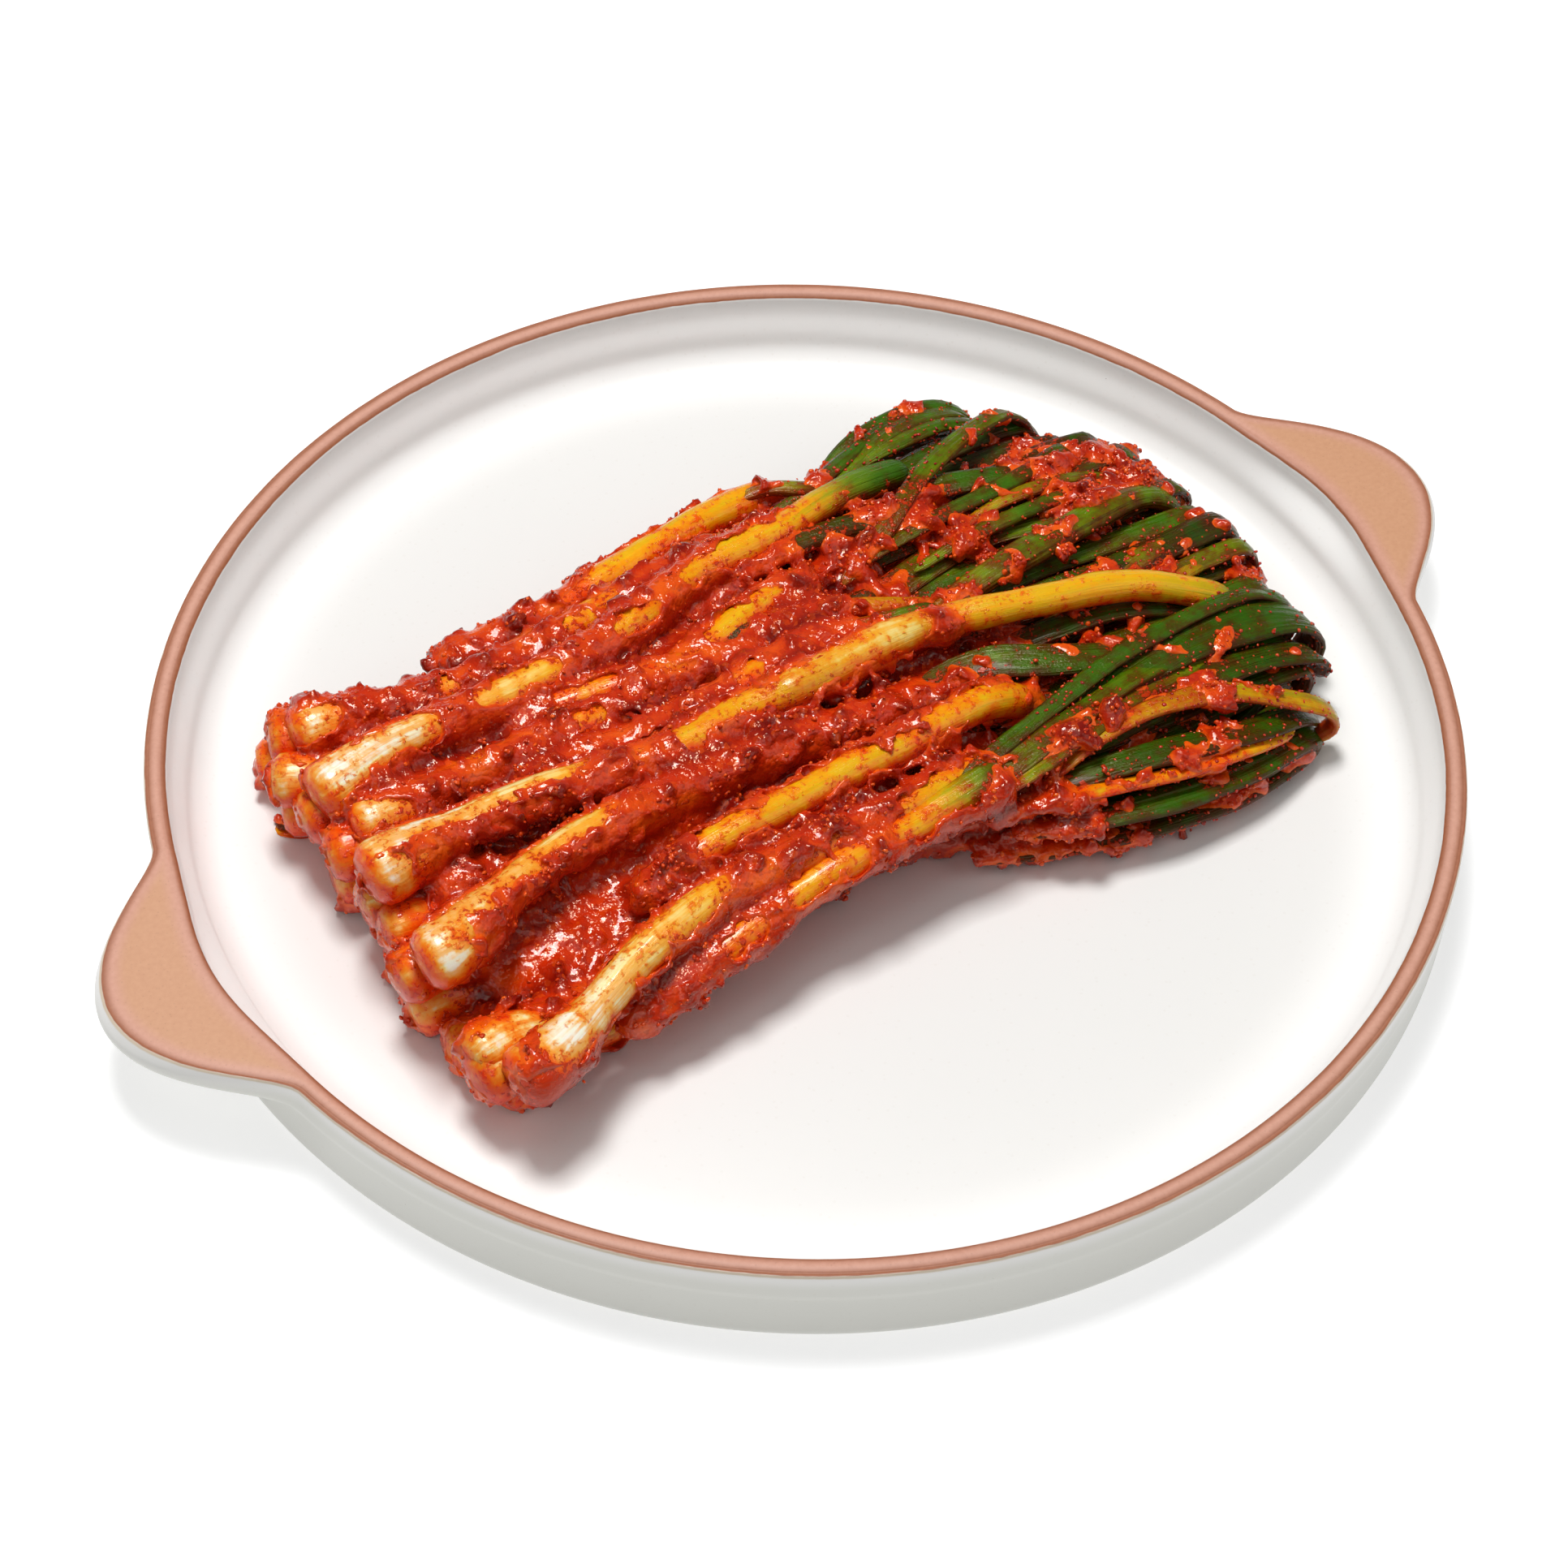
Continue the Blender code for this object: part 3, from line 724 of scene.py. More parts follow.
# Each is (half width, half thickness, tone, crease, places x y z).
UPPER_LEAVES = (
    (4.3, 3.2, 0.86, 0.05, ((26, 4, 28), (35, 6, 30), (45, 9, 31), (56, 11, 31.5), (68, 13, 31),
     (82, 15.5, 30), (95, 17.5, 28), (103, 17.5, 23.5), (105, 17, 17), (100, 16, 11.5))),
    (2.9, 1.4, 0.88, 0.2, ((24, 26, 28), (32, 30, 29.5), (40, 34, 31), (47, 38.5, 32), (55, 43.5, 32),
     (65, 48.5, 31), (74, 52, 30), (84, 55, 27.5), (90, 55, 22), (91, 54, 15), (86, 53, 11))),
    (2.9, 2.0, 0.7, 0.1, ((2, 24, 28.5), (10, 21, 30), (18, 18, 31), (26, 14.5, 31), (34, 11, 30),
     (42, 8, 28))),
    (2.8, 1.8, 0.78, 0.1, ((-6, 27, 27), (2, 27, 29), (10, 26, 29.5), (18, 23, 28.5))),
    (4.0, 2.6, 1.06, 0.1, ((0, 37, 27), (10, 39, 29.5), (20, 40, 30), (30, 39.5, 30), (42, 37.5, 29),
     (54, 35, 27))),
    (3.6, 1.4, 1.02, 0.15, ((40, 40, 27), (52, 41.5, 29), (64, 39.5, 29), (76, 36.5, 28), (88, 34, 25),
     (96, 33, 19))),
    (2.6, 1.8, 0.86, 0.1, ((12, 60.5, 22), (19, 62, 25.5), (26, 61, 26.5), (33, 57.5, 26), (42, 55, 24))),
    (2.7, 1.3, 0.98, 0.15, ((32, 57, 20), (42, 63, 22.5), (53, 67.5, 24), (65, 69.5, 24),
     (76, 68.5, 22.5), (82, 66, 18), (80, 64, 12))),
    (2.2, 1.3, 0.95, 0.1, ((40, 56, 25), (50, 58.5, 26), (60, 60, 26), (72, 61, 25), (82, 61, 21))),
    (3.0, 1.3, 0.93, 0.15, ((30, 52, 25), (42, 57, 25.5), (56, 62.5, 26), (68, 65, 25), (78, 65, 22),
     (82, 63, 15))),
    (2.4, 1.2, 1.0, 0.1, ((22, 55, 25), (34, 57, 26), (48, 62, 26), (60, 66.5, 25), (72, 67, 22))),
    (2.6, 1.3, 0.95, 0.15, ((28, 29, 28), (40, 30.5, 29.5), (52, 32, 30), (64, 33, 30), (76, 35, 29),
     (90, 39.5, 26), (96, 41, 20))),
    (2.4, 1.2, 0.84, 0.1, ((54, 28, 28), (66, 30, 29), (78, 30.5, 28.5), (88, 30, 27), (97, 28.5, 23),
     (99, 28, 15))),
    (2.6, 1.4, 0.93, 0.1, ((40, 22, 28), (54, 24, 29), (68, 25, 29), (82, 25.5, 28), (94, 25, 25),
     (101, 24, 19))),
    (3.4, 1.5, 0.86, 0.12, ((64, 0, 24), (76, 1, 26), (86, 2, 26.5), (95, 2.5, 26), (102, 2, 23),
     (105, 1, 17))),
    (3.0, 1.4, 0.84, 0.12, ((80, -7, 24), (90, -6, 25.5), (99, -4, 25), (106, -1.5, 22), (109, -1, 15))),
    (2.8, 1.6, 1.08, 0.1, ((-30, 22, 26), (-20, 23, 29), (-10, 23, 30), (2, 21.5, 30.5), (12, 19, 30),
     (22, 17, 28))),
    (3.6, 1.6, 1.08, 0.1, ((24, 0, 18), (38, -3, 21.5), (48, -5, 25), (58, -7, 27.3), (71, -9, 27.5),
     (84, -12, 25), (96, -16, 21))),
    (2.6, 1.3, 1.05, 0.1, ((44, 6, 27), (58, 4, 28), (72, 3, 28), (84, 4, 26.5), (96, 6, 22))),
    (5.0, 1.7, 1.0, 0.15, ((24, -6, 26), (32, -8, 28.5), (40, -11, 30), (48, -15.5, 30.3),
     (56, -19, 30), (65, -21.5, 29), (76, -23, 27), (92, -25, 24))),
    (5.4, 1.4, 1.02, 0.1, ((40, -34, 27), (54, -30, 28.5), (70, -27, 29), (88, -26, 28),
     (102, -26.5, 25.5), (111, -27.5, 20.5), (113, -28, 14), (108, -28, 10))),
    (5.0, 1.4, 1.06, 0.12, ((46, -38, 25), (60, -36, 26.5), (78, -34.5, 26.5), (95, -34.5, 24.5),
     (107, -35.5, 20), (109, -36, 13))),
    (2.6, 1.3, 0.98, 0.2, ((6, -38, 29), (22, -34.5, 31), (41, -29.5, 31.8), (63, -23.5, 31.6),
     (76, -21.5, 31), (90, -20, 30), (101, -19.5, 27.5), (108, -20.5, 22.5), (111, -22, 16),
     (107, -23, 11))),
    (3.6, 1.4, 0.9, 0.22, ((8, -41, 28), (24, -38.5, 30), (38, -35.5, 30.8), (50, -32.5, 30.5),
     (64, -29, 29.5), (78, -27, 27))),
    (2.6, 1.2, 0.84, 0.22, ((10, -43, 28), (26, -41.5, 29.5), (40, -39, 30), (54, -35.5, 29.5),
     (68, -32, 28), (84, -31, 26))),
    (3.2, 1.5, 0.72, 0.12, ((34, -42, 26), (46, -39.5, 28.5), (56, -38, 29), (67, -38.5, 29),
     (80, -41, 27.5), (91, -46, 24.5), (100, -49.5, 20), (103, -50, 14), (98, -49, 10))),
    (2.4, 1.4, 0.56, 0.1, ((18, -42, 22), (26, -44, 23.5), (40, -47.5, 24), (62, -52, 23),
     (76, -52.5, 22), (92, -50, 18))),
    (4.4, 1.6, 1.06, 0.12, ((28, -41, 22), (42, -43.5, 24.5), (56, -46, 25), (78, -49, 23),
     (94, -47.5, 18.5), (102, -45, 12))),
    (4.6, 1.6, 1.02, 0.12, ((24, -45, 17), (40, -50, 18), (58, -53.5, 18), (76, -54, 17),
     (92, -51, 14.5), (101, -48, 10.5))),
    (4.4, 1.8, 1.06, 0.1, ((16, -42, 11), (34, -48, 11), (54, -52.5, 11), (74, -54.5, 10.5),
     (90, -52, 10), (101, -47, 10))),
)

leaves = Strands(LEAF_AROUND)


def leaf_shape(run, half_wide):
    """Half width along a leaf: it opens from the stalk over 25 mm and closes at its end."""
    opening = 0.62 + 0.38 * rise_between(0.0, 25.0, run)
    start, end = rounded(run, 5.0, 0.03), rounded(run[-1] - run, 6.0, 0.03)
    waver = 1.0 + 0.07 * np.sin(run / 9.0 + half_wide * 5.0) + 0.04 * np.sin(run / 3.7 + half_wide)
    return 0.86 * half_wide * opening * start * end * waver


for half_wide, half_thick, tone, crease, places in UPPER_LEAVES:
    path, run = even_path(places, LEAF_STEP)
    wide = leaf_shape(run, half_wide)
    lean = 0.16 * np.sin(run / 17.0 + half_wide * 9.0)
    shade = tone - 0.12 * (1.0 - rise_between(0.0, 40.0, run)) * (tone > 0.8)
    leaves.add(path, run, wide, wide * half_thick / half_wide, shade, crease, lean, 0.3)


def leaf_end(share):
    """X where the heap ends, drawn back to both corners, as in the CAD solid."""
    return 117.0 - np.where(share > 0, 28.0 * np.abs(share) ** 1.6, 20.0 * np.abs(share) ** 3.2)


# Nested folded leaves, outermost first: (height on top, radius of the U-turn, set back).
FOLDS = ((25.0, 8.2, 3.0), (20.5, 5.4, 7.0), (16.5, 3.0, 12.0))
for top, turn_radius, set_back in FOLDS:
    for share in np.linspace(-0.93, 0.93, 15):
        share = share + rng.uniform(-0.03, 0.03)
        low_edge = 1.0 - 0.35 * abs(share) ** 3
        height = (top + rng.uniform(-1.5, 1.0)) * low_edge
        radius = min(turn_radius * rng.uniform(0.85, 1.1), (height - 8.5) / 2)
        end_x = leaf_end(share) - set_back + rng.uniform(-3.0, 2.0)
        xs = np.array([10.0 + rng.uniform(-8, 8), 30.0, 55.0, 80.0, end_x - radius])
        ys = heap_middle(xs) + share * (heap_half(xs) - 4.5) + rng.uniform(-2.0, 2.0, 5)
        zs = np.full(5, height) + np.array([-3.0, 0.0, 0.5, 0.5, 0.0])
        bend = np.radians([60.0, 20.0, -20.0, -60.0, -90.0])
        bend_x = end_x - radius + radius * np.cos(bend)
        bend_z = height - radius + radius * np.sin(bend)
        back_x = end_x - radius - np.array([12.0, 28.0])
        drift = rng.uniform(-2.5, 2.5)
        xs = np.concatenate([xs, bend_x, back_x])
        aside = np.append(np.linspace(0.2, 1.0, 5), [1.2, 1.4])
        ys = np.append(ys, ys[-1] + drift * aside)
        zs = np.concatenate([zs, bend_z, np.full(2, max(height - 2 * radius, 8.4))])
        path, run = even_path(np.stack([xs, ys, np.maximum(zs, 8.2)], axis=1), LEAF_STEP * 1.15)
        half_wide = rng.uniform(2.8, 5.0)
        wide = leaf_shape(run, half_wide)
        lean = rng.uniform(-0.25, 0.25) * np.sin(run / 30.0 + rng.uniform(0, 6))
        shade = rng.choice([0.86, 0.95, 1.02, 1.08]) + rng.uniform(-0.03, 0.03)
        thick, crease = wide * rng.uniform(0.28, 0.42), rng.uniform(0.0, 0.18)
        leaves.add(path, run, wide, thick, shade, crease, lean, 0.35)


# ---- Chilli paste ------------------------------------------------------------------------
# A coarse wet paste of ground chilli, garlic and fish sauce. It fills every hollow between
# the stalks, coats most of them, and thins out to lumps and flecks among the leaves.

VOXEL = 0.7
FIELD_MARGIN = 5.0
BAND_VOXELS = 7.0
PASTE_THICKNESS = 0.95
PASTE_ADAPTIVITY = 0.06
HIDDEN_DEPTH = 0.8
field_first = np.floor((heap_low - FIELD_MARGIN) / VOXEL).astype(int)
field_shape = tuple(np.ceil((heap_high + FIELD_MARGIN) / VOXEL).astype(int) - field_first)
axis_x, axis_y, axis_z = (
    ((first + np.arange(count)) * VOXEL).reshape([-1 if k == axis else 1 for k in range(3)])
    for axis, (first, count) in enumerate(zip(field_first, field_shape))
)


def soft_noise(spacing):
    """Even random noise of unit spread: a coarse lattice joined by cubic B-splines on each axis."""
    noise = rng.standard_normal([int(count * VOXEL / spacing) + 5 for count in field_shape])
    for axis, count in enumerate(field_shape):
        apart = np.abs((np.arange(count) * VOXEL / spacing + 1.0)[:, None] - np.arange(noise.shape[axis]))
        inner, outer = 2 / 3 - apart**2 + apart**3 / 2, np.clip(2 - apart, 0, None) ** 3 / 6
        weight = np.where(apart < 1, inner, outer)
        noise = np.moveaxis(np.tensordot(weight, noise, (1, axis)), 0, axis)
    return (noise / noise.std()).astype(np.float32)


def softened(field, times):
    """The field averaged with both neighbours (1, 2, 1) along each axis, several times over."""
    for _ in range(times):
        for axis in range(3):
            padded = np.concatenate([field.take([0], axis), field, field.take([-1], axis)], axis)
            count = field.shape[axis]
            before, after = (padded.take(np.arange(k, k + count), axis) for k in (0, 2))
            field = (before + 2.0 * field + after) / 4.0
    return field


def read_field(field, points):
    """The field at points, by weighing the eight voxels around each."""
    at = points / VOXEL - field_first
    low = np.clip(np.floor(at).astype(int), 0, np.array(field_shape) - 2)
    part = np.clip(at - low, 0.0, 1.0)
    total = np.zeros(len(points))
    for corner in np.ndindex(2, 2, 2):
        weight = np.prod(np.where(corner, part, 1.0 - part), axis=1)
        total += weight * field[tuple((low + corner).T)]
    return total


CORE_RINGS = 40
CORE_AROUND = 24


def core_solid():
    """A closed body in the lower half of the heap, so that no hollows are left inside it.

    Each ring is as wide as the heap less 8 mm, with a flat top and base: its height goes
    with the sine of the turn to the power 0.6, and both shrink towards the ends.
    """
    x = np.linspace(-94.0, 96.0, CORE_RINGS)
    turn = np.arange(CORE_AROUND) * 2 * math.pi / CORE_AROUND
    shrink = np.sqrt(np.clip(1.0 - ((x - 1.0) / 97.0) ** 8, 0.01, 1.0))[:, None]
    top = 0.52 * heap_rise(x)[:, None]
    y = heap_middle(x)[:, None] + (heap_half(x)[:, None] - 8.0) * shrink * np.cos(turn)
    flattened = np.sign(np.sin(turn)) * np.abs(np.sin(turn)) ** 0.6
    z = FLOOR_HEIGHT + 3.5 + top * (0.5 + 0.5 * shrink * flattened)
    points = np.stack(np.broadcast_arrays(x[:, None], y, z), axis=-1).reshape(-1, 3)
    ends = points.reshape(CORE_RINGS, CORE_AROUND, 3)[[0, -1]].mean(axis=1)
    first = np.arange(CORE_AROUND)
    last = first + (CORE_RINGS - 1) * CORE_AROUND
    pole = np.full(CORE_AROUND, len(points))
    caps = [np.stack([pole, np.roll(first, -1), first], -1)]
    caps.append(np.stack([pole + 1, last, np.roll(last, -1)], -1))
    return np.concatenate([points, ends]), ring_faces(CORE_RINGS, CORE_AROUND), np.concatenate(caps)


# The distance in millimetres to the nearest stalk or leaf, below 0 inside them.
solids = [tuple(strands.arrays()) for strands in (stalks, leaves)] + [core_solid()]
starts = np.cumsum([0] + [len(points) for points, _, _ in solids])
solid_quads, solid_triangles = (
    np.concatenate([solid[part] + start for solid, start in zip(solids, starts)]).astype(np.uint32)
    for part in (1, 2)
)
level_set = openvdb.FloatGrid.createLevelSetFromPolygons(
    np.concatenate([points for points, _, _ in solids]).astype(np.float32),
    triangles=solid_triangles,
    quads=solid_quads,
    transform=openvdb.createLinearTransform(voxelSize=VOXEL),
    exBandWidth=BAND_VOXELS,
    inBandWidth=BAND_VOXELS,
)
distance = np.empty(field_shape, np.float32)
level_set.copyToArray(distance, ijk=tuple(int(n) for n in field_first))

# The coat's thickness in millimetres: even, with lumps of two sizes, and bare at the roots.
fine, middling, broad, wide_noise = (soft_noise(spacing) for spacing in (1.35, 2.2, 5.0, 14.0))
lumps = np.clip(fine - 0.4, 0.0, 1.5) * 0.62 + np.clip(middling - 0.6, 0.0, 1.6) * 0.80
filled = rise_between(-99.0, -88.0, axis_x)
coat = PASTE_THICKNESS * (0.10 + 0.90 * filled) - 0.15 + 0.26 * broad + 0.16 * middling + lumps

# Towards the leaves the coat thins until only lumps are left, apart from some places
# (x, y, reach in x, reach in y, how much is added) where it lies thick.
thinning = rise_between(10.0, 47.0, axis_x + 0.12 * (axis_y - 10.0))
crumbs = np.clip(soft_noise(3.0) - 0.8, 0.0, 2.0)
coat = coat - thinning * (2.2 - 0.45 * broad - 0.35 * wide_noise - 1.3 * crumbs)
CLUMPS = (
    (34, 2, 3.5, 8, 2.4), (20, -40, 14, 6, 0.9), (40, 25, 22, 6, 1.3), (64, 37, 26, 8, 1.1),
    (86, 22, 14, 9, 1.0), (57, -36, 10, 4, 1.5), (24, -56, 30, 6, 0.7), (84, 46, 14, 9, 0.8),
    (42, -20, 7, 5, 1.8), (43, -5, 6, 4, 1.9), (30, -14, 16, 6, 1.2), (66, -2, 22, 2.5, 1.2),
    (100, -34, 8, 9, 0.8), (88, -44, 12, 4, 1.0), (108, 0, 7, 14, 1.0), (40, 48, 10, 6, 0.9),
    (72, 60, 12, 7, 0.9), (60, 15, 12, 3, 0.6), (52, -50, 20, 5, 0.5),
)
for x, y, reach_x, reach_y, more in CLUMPS:
    near = np.exp(-(((axis_x - x) / reach_x) ** 2) - ((axis_y - y) / reach_y) ** 2)
    coat = coat + more * near

# The bare stretches: how far each voxel lies inside a line's half width. There the coat
# sinks under the stalk's skin, with an uneven edge.
uncovered = np.full(field_shape, -9.0, np.float32)
for line, half_width in bare_lines:
    if len(line) == 0:
        continue
    reach = half_width + 3.0
    low = np.floor((line.min(axis=0) - reach) / VOXEL).astype(int) - field_first
    high = np.ceil((line.max(axis=0) + reach) / VOXEL).astype(int) - field_first
    window = tuple(slice(max(a, 0), max(b, 0)) for a, b in zip(low, high))
    near_x, near_y, near_z = axis_x[window[0]], axis_y[:, window[1]], axis_z[..., window[2]]
    nearest = np.full(uncovered[window].shape, 99.0, np.float32)
    for x, y, z in line:
        nearest = np.minimum(nearest, (near_x - x) ** 2 + (near_y - y) ** 2 + (near_z - z) ** 2)
    uncovered[window] = np.maximum(uncovered[window], half_width - np.sqrt(nearest))
edge = rise_between(-0.5, 0.6, uncovered + 0.5 * fine + 0.9 * middling + 0.7 * broad)
coat = coat * (1.0 - edge) - 1.6 * edge
coat = np.where(coat < -0.2, coat * 2.4 + 0.28, coat)

# The paste's own field, 0 at its skin: the blurred distance, which rounds off the hollows
# between stalks, less the coat, and cut off just over the tray's floor.
softness = 0.25 + 0.75 * filled
paste_field = softened(distance, 5) * softness + softened(distance, 1) * (1.0 - softness) - coat
paste_field = np.maximum(paste_field, FLOOR_HEIGHT + 0.15 - axis_z).astype(np.float32)

# The share of paste, and of anything solid, round about: the first stains the skins under
# it, and the second, over a half in hollows and under it on crests, paints shade into the
# paste's hollows.
paste_near = softened((paste_field < 0.0).astype(np.float32), 12)
hollow_shade_share = softened((np.minimum(paste_field, distance) < 0.0).astype(np.float32), 30)


def paste_finish():
    """Brick-red wet paste, painted darker in its hollows as shade, and oily orange crumbs."""
    finish = Finish("chilli_paste")
    place = finish.place()
    crumb = finish.cells(place, 800.0, output="Color")
    cloud = finish.noise(place, 130.0, 4.0)
    grit = finish.noise(place, 1500.0, 3.0)
    seeds = finish.cells(place, 1250.0)
    grains = finish.cells(place, 640.0)
    # Painted shade: the paste darkens in hollows, where the solid share round about is high, and lightens
    # a little on crests.
    hollow = (finish.attribute("hollow") - 0.5).most(-0.04)
    depth = finish.attribute("thickness") / 3.0 + (cloud - 0.5) * 0.35 + hollow * 1.5
    stops = [(0.0, (0.82, 0.100, 0.004)), (0.10, (0.71, 0.054, 0.003)), (0.30, (0.55, 0.023, 0.002))]
    color = finish.ramp(depth, stops + [(0.80, (0.21, 0.004, 0.001))])
    color = finish.mix(crumb.between(0.6, 0.95) * 0.40, color, (0.80, 0.090, 0.006))
    color = finish.mix((1.0 - crumb.between(0.08, 0.40)) * 0.35, color, (0.24, 0.006, 0.001))
    bumps = finish.bump((0.0 - grains * grains) * 1.0 - seeds * seeds * 0.4 + grit * 0.15, 0.00034, 0.8)
    return finish.surface(
        Base_Color=color,
        Roughness=0.09 + grit * 0.12,
        Normal=bumps,
        Coat_Weight=0.42,
        Coat_Roughness=0.03,
        Specular_IOR_Level=0.45,
        Specular_Tint=(1.0, 0.74, 0.52, 1.0),
    )


def paste_surface():
    """The coat's skin, where paste_field is 0, without what lies deep inside stalks and leaves."""
    grid = openvdb.FloatGrid(3.0)
    grid.transform = openvdb.createLinearTransform(voxelSize=VOXEL)
    grid.copyFromArray(paste_field, ijk=tuple(int(n) for n in field_first))
    points, triangles, quads = grid.convertToPolygons(isovalue=0.0, adaptivity=PASTE_ADAPTIVITY)
    points, quads, triangles = (np.array(part) for part in (points, quads, triangles))
    quads, triangles = quads.astype(int), triangles.astype(int)
    a, b, c = (points[quads[:, k]] for k in range(3))
    if np.einsum("ij,ij->", a, np.cross(b, c)) < 0:
        quads, triangles = quads[:, ::-1], triangles[:, ::-1]
    near_air = read_field(distance, points) > -HIDDEN_DEPTH
    return points, quads[near_air[quads].any(axis=1)], triangles[near_air[triangles].any(axis=1)]


def paste_piece(name, low, high):
    """The coat's faces whose first corners lie between two places along x, renumbered."""
    places = [paste_points[faces[:, 0], 0] for faces in paste_faces]
    chosen = [faces[(at >= low) & (at < high)] for faces, at in zip(paste_faces, places)]
    used, numbers = np.unique(np.concatenate([np.ravel(faces) for faces in chosen]), return_inverse=True)
    quads, triangles = np.split(numbers, [chosen[0].size])
    points = paste_points[used]
    quads, triangles = quads.reshape(-1, 4), triangles.reshape(-1, 3)
    attributes = [("thickness", "FLOAT", read_field(distance, points))]
    # The hollow attribute carries the share of solid round about, for the paste's painted shade.
    attributes.append(("hollow", "FLOAT", read_field(hollow_shade_share, points)))
    piece = new_piece(name, points, quads, triangles, paste_material, attributes)
    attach(piece, "root")
    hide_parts("scallion_bundle")


paste_points, *paste_faces = paste_surface()
paste_material = paste_finish()
paste_piece("chilli_paste_roots", -200.0, -45.0)
paste_piece("chilli_paste_stems", -45.0, 36.0)
paste_piece("chilli_paste_leaves", 36.0, 200.0)


# ---- Ground chilli -----------------------------------------------------------------------
# Loose crumbs of dried red chilli skin, ground coarse. They stand out of the wet paste and
# stick singly to the leaves, each a flat crumb squashed on to what is under it.

FLAKE_AROUND = 6
FLAKE_JITTER = 0.7
FLAKE_POINTS = 2 * FLAKE_AROUND + 2


def flakes_piece(name, count, radius, flatness, lift, material, spots, facing, onto):
    """Flat crumbs: each is two rings of six points and two poles, squashed along its own normal.

    radius is the range of sizes, flatness the share of it in thickness, and lift how far
    the middle stands off the spot; a random tilt turns each crumb off the skin under it.
    """
    likely = np.exp(0.8 * read_field(broad, spots))
    chosen = rng.choice(len(spots), count, replace=False, p=likely / likely.sum())
    normal = facing[chosen] + rng.normal(0.0, 0.22, (count, 3))
    normal /= np.linalg.norm(normal, axis=1, keepdims=True)
    side = np.cross(normal, rng.normal(size=(count, 3)))
    side /= np.linalg.norm(side, axis=1, keepdims=True)
    across = np.cross(normal, side)
    size = rng.uniform(*radius, count)
    middle = spots[chosen] + side * rng.normal(0.0, FLAKE_JITTER, (count, 1))
    middle = middle + across * rng.normal(0.0, FLAKE_JITTER, (count, 1))
    rise = lift + read_field(onto, spots[chosen]) - read_field(onto, middle)
    middle = middle + facing[chosen] * rise[:, None]
    turn = np.arange(FLAKE_AROUND) * 2 * math.pi / FLAKE_AROUND
    uneven = rng.uniform(0.65, 1.15, (count, FLAKE_AROUND))
    wide, long = np.cos(turn) * uneven, np.sin(turn) * uneven * rng.uniform(0.5, 0.95, (count, 1))
    levels = ((0.8, 0.5), (1.0, -0.3))
    rings = np.stack([np.stack([wide * k, long * k, np.full_like(wide, h)], -1) for k, h in levels], 1)
    poles = np.broadcast_to([[0.0, 0.0, 1.0], [0.0, 0.0, -1.0]], (count, 2, 3))
    local = np.concatenate([rings.reshape(count, -1, 3), poles], axis=1)
    local = local * np.stack([size, size, size * flatness], -1)[:, None]
    frames = np.stack([side, across, normal], axis=1)
    points = np.einsum("nij,njk->nik", local, frames) + middle[:, None]
    first = np.arange(count)[:, None] * FLAKE_POINTS
    ring = np.arange(FLAKE_AROUND)
    after = np.roll(ring, -1)
    quads = np.stack([ring + FLAKE_AROUND, after + FLAKE_AROUND, after, ring], -1)
    pole = np.full(FLAKE_AROUND, 2 * FLAKE_AROUND)
    top = np.stack([ring, after, pole], -1)
    low = np.stack([after + FLAKE_AROUND, ring + FLAKE_AROUND, pole + 1], -1)
    quads = (quads[None] + first[..., None]).reshape(-1, 4)
    triangles = (np.concatenate([top, low])[None] + first[..., None]).reshape(-1, 3)
    points = points.reshape(-1, 3)
    depth = np.repeat(rng.uniform(0.0, 0.9, count), FLAKE_POINTS)
    attributes = [("thickness", "FLOAT", depth), ("hollow", "FLOAT", np.full(len(points), 0.5))]
    piece = new_piece(name, points, quads, triangles, material, attributes)
    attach(piece, "root")
    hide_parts("scallion_bundle")


def flake_finish():
    """Ground chilli skin on the leaves, red with darker and oranger bits, soaked and shiny."""
    finish = Finish("chilli_flake")
    bit = finish.cells(finish.place(), 500.0, output="Color")
    stops = [(0.0, (0.22, 0.006, 0.002)), (0.5, (0.55, 0.022, 0.004)), (1.0, (0.78, 0.11, 0.012))]
    return finish.surface(Base_Color=finish.ramp(bit, stops), Roughness=0.2, Coat_Weight=0.3)


distance_soft = softened(distance, 2)


def outward(points):
    """The direction in which the distance to stalks and leaves grows, of unit length."""
    steps = np.eye(3) * VOXEL
    ahead, behind = ([read_field(distance_soft, points + k * d) for d in steps] for k in (1, -1))
    slope = np.stack(ahead, 1) - np.stack(behind, 1)
    return slope / (np.linalg.norm(slope, axis=1, keepdims=True) + 1e-6)


PASTE_FLAKES = 6000
LEAF_FLAKES = 4500
paste_skin = paste_points[
    (read_field(distance, paste_points) > 0.15) & (paste_points[:, 2] > FLOOR_HEIGHT + 1.5)
]
flakes_piece(
    "chilli_flakes", PASTE_FLAKES, (0.35, 0.90), 0.65, -0.1,
    paste_material, paste_skin, outward(paste_skin), paste_field,
)
leaf_skin = next(leaves.arrays())
leaf_skin = leaf_skin[
    (np.abs(read_field(distance, leaf_skin)) < 0.3) & (read_field(paste_field, leaf_skin) > 0.3)
]
flakes_piece(
    "leaf_flakes", LEAF_FLAKES, (0.20, 0.65), 0.6, 0.0,
    flake_finish(), leaf_skin, outward(leaf_skin), distance,
)


# ---- Skins of the stalks and leaves ------------------------------------------------------
# The stalks and leaves laid out above, made up last: their wet skins are stained by chilli
# oil and crumbs where the paste lies near, and run from white through yellow to green.


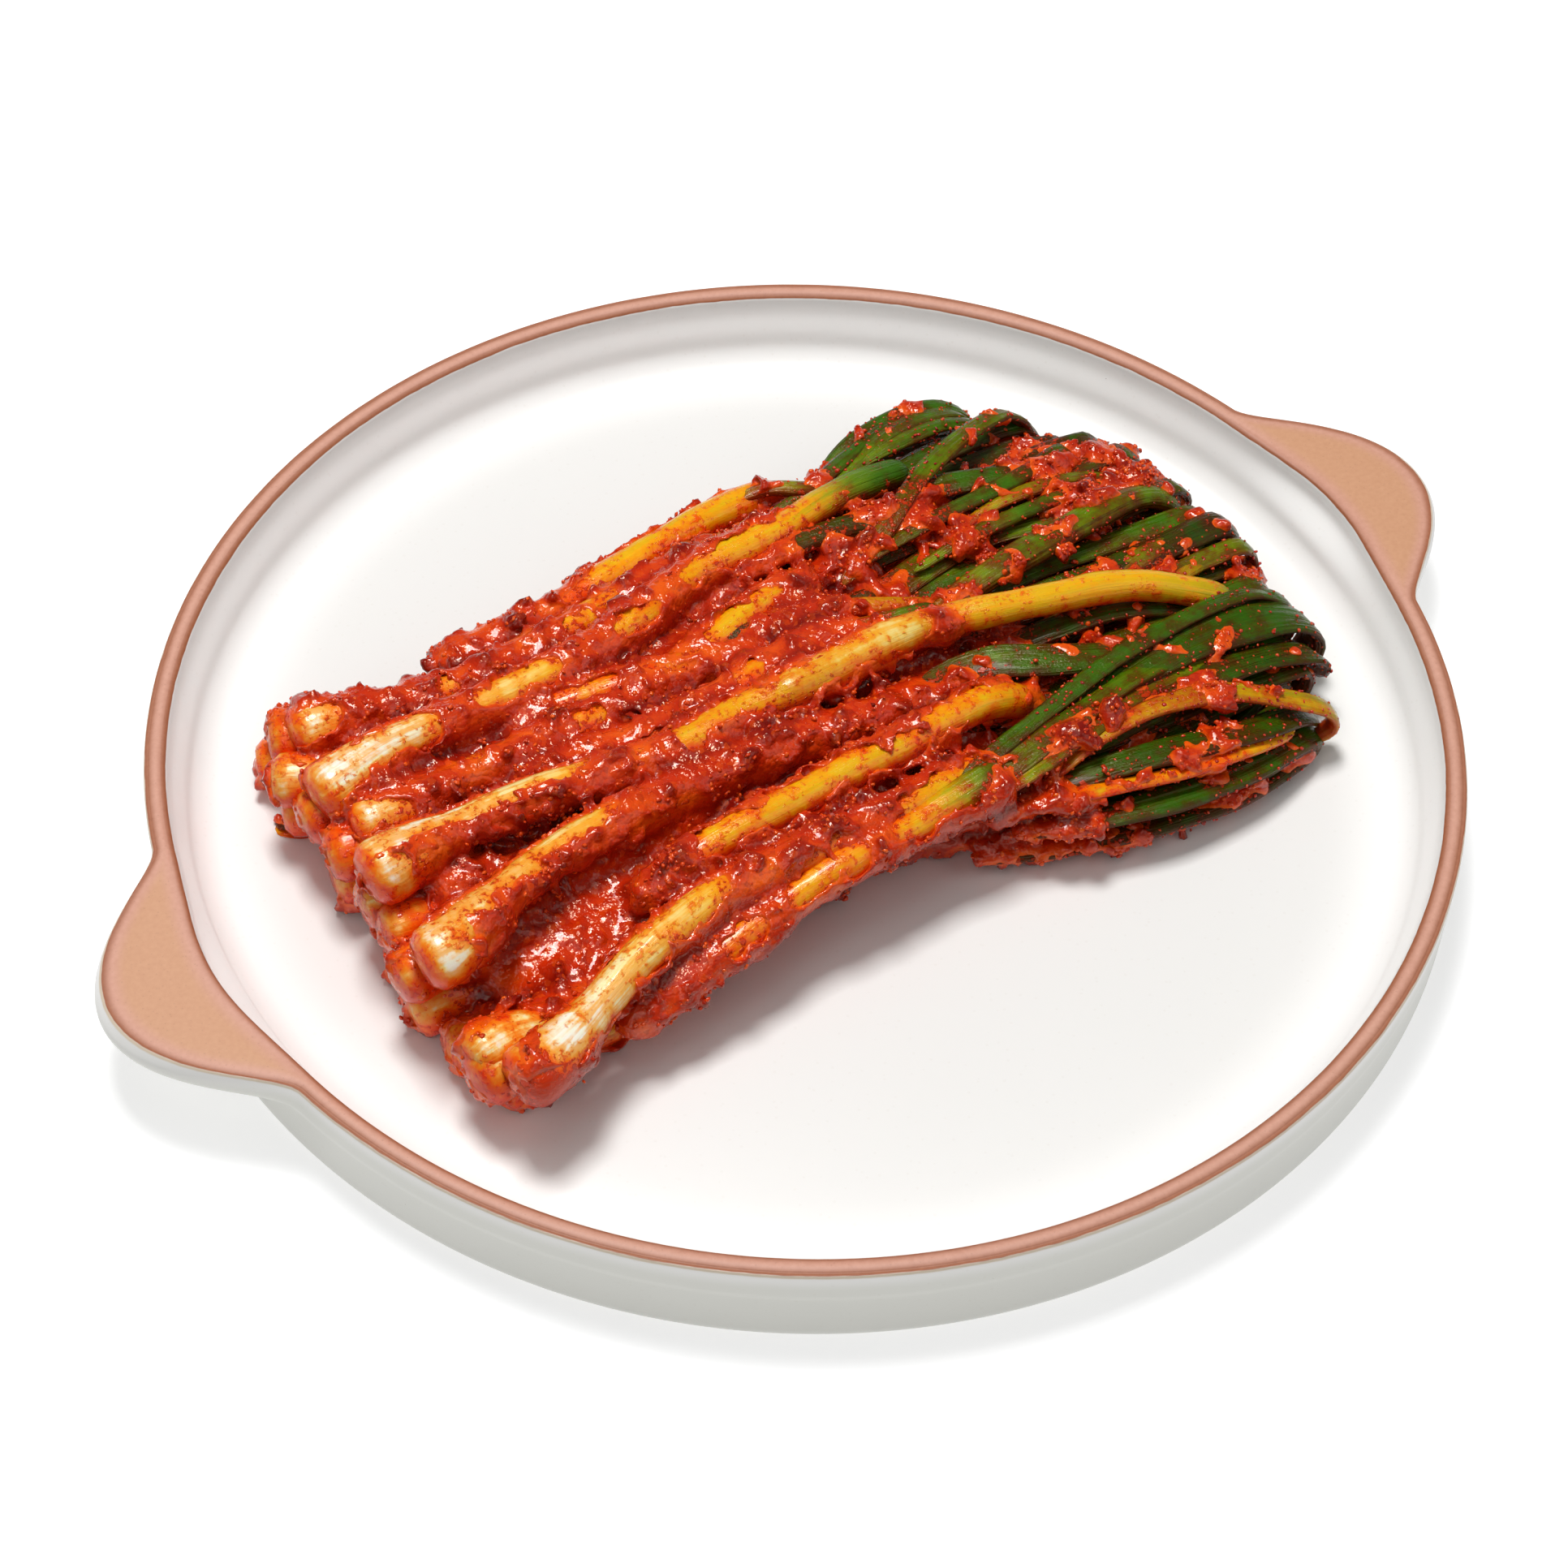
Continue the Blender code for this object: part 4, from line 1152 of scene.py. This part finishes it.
def strand_finish(name):
    """Wet scallion skin: white, yellow or green with fine lines along it, stained by the paste."""
    finish = Finish(name)
    place = finish.place()
    tone = finish.attribute("tone") / 1.15
    skin = finish.attribute("skin", "Vector")
    near = finish.attribute("paste_near")
    soak = finish.attribute("soak")
    lines = finish.noise(finish.stretch(skin, (1.3, 0.045, 1.0)), 1.0, 3.0)
    veins = finish.noise(finish.stretch(skin, (3.2, 0.03, 1.0)), 1.0, 2.0)
    patch = finish.noise(finish.stretch(skin, (0.22, 0.07, 1.0)), 1.0, 3.0)
    mottle = finish.noise(place, 260.0, 4.0)
    speck = finish.noise(place, 900.0, 3.0)
    shade = tone + (lines - 0.5) * 0.10 + (patch - 0.5) * 0.16
    stops = [(0.0, (0.95, 0.89, 0.76)), (0.12, (0.93, 0.76, 0.34)), (0.36, (0.90, 0.46, 0.006))]
    stops += [(0.54, (0.60, 0.38, 0.004)), (0.68, (0.17, 0.26, 0.003)), (0.82, (0.042, 0.140, 0.003))]
    stops += [(1.0, (0.008, 0.038, 0.002))]
    color = finish.ramp(shade, stops)
    color = finish.mix(veins.between(0.4, 0.7) * 0.22, color, (0.95, 0.85, 0.5), "SOFT_LIGHT")
    pale = 1.0 - tone.between(0.5, 0.75)
    streak = finish.noise(finish.stretch(skin, (0.42, 0.022, 1.0)), 1.0, 3.0)
    gold = (streak + (mottle - 0.5) * 0.5 + soak * 0.25 + near * 0.5).between(0.44, 0.62) * pale
    color = finish.mix(gold * 0.8, color, (0.90, 0.37, 0.004))
    dots = (speck * 0.7 + mottle * 0.5 + near * 0.10).between(0.66, 0.74) * pale
    color = finish.mix(dots * 0.7, color, (0.84, 0.16, 0.003))
    oil = (near * 1.9 + (mottle - 0.5) * 2.2 + (speck - 0.5) * 0.6 + soak * 1.35).between(0.0, 1.7)
    stops = [(0.0, (1.0, 1.0, 1.0)), (0.18, (0.99, 0.80, 0.36)), (0.42, (0.97, 0.47, 0.06))]
    film = finish.ramp(oil, stops + [(0.70, (0.97, 0.23, 0.012)), (1.0, (0.88, 0.085, 0.004))])
    color = finish.mix(1.0, color, film, "MULTIPLY")
    color = finish.mix(oil * (1.0 - pale) * 0.55, color, (0.15, 0.016, 0.001))
    crumbs = near * 1.2 + (speck - 0.5) * 2.2 + (mottle - 0.5) * 1.2 + (1.0 - pale) * 0.16
    crumbs = crumbs.between(0.62, 0.80)
    color = finish.mix(crumbs * 0.85, color, (0.56, 0.032, 0.003))
    folds = finish.noise(finish.stretch(skin, (0.55, 0.012, 1.0)), 1.0, 1.0)
    wrinkles = finish.noise(finish.stretch(skin, (0.9, 0.16, 1.0)), 1.0, 2.0)
    drops = finish.noise(place, 1500.0, 2.0)
    height = lines * 0.45 + veins * 0.25 + crumbs * 0.8 + dots * 0.4 + drops * 0.25
    height = height + (folds * 3.0 + wrinkles * 1.0 + drops * 0.3 + veins * 0.4) * (1.0 - pale)
    return finish.surface(
        Base_Color=color,
        Roughness=0.12 + speck * 0.16,
        Subsurface_Weight=0.22,
        Subsurface_Radius=(0.0035, 0.0014, 0.0005),
        Subsurface_Scale=1.0,
        Normal=finish.bump(height, 0.00045, 0.7),
        Coat_Weight=0.06 + pale * 0.22,
        Coat_Roughness=0.03,
        Specular_IOR_Level=0.36,
        Specular_Tint=(1.0, 0.86, 0.62, 1.0),
    )


def strand_piece(strands, name):
    """One mesh of all the tubes, with the share of paste near each point for its stain."""
    points, quads, triangles = strands.arrays()
    attributes = [("skin", "FLOAT_VECTOR", np.concatenate(strands.skin))]
    attributes.append(("tone", "FLOAT", np.concatenate(strands.tone)))
    attributes.append(("soak", "FLOAT", np.concatenate(strands.soak)))
    attributes.append(("paste_near", "FLOAT", read_field(paste_near, points)))
    piece = new_piece(name, points, quads, triangles, strand_finish(name), attributes)
    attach(piece, "root")
    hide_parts("scallion_bundle")


strand_piece(stalks, "scallion_stalks")
strand_piece(leaves, "scallion_leaves")
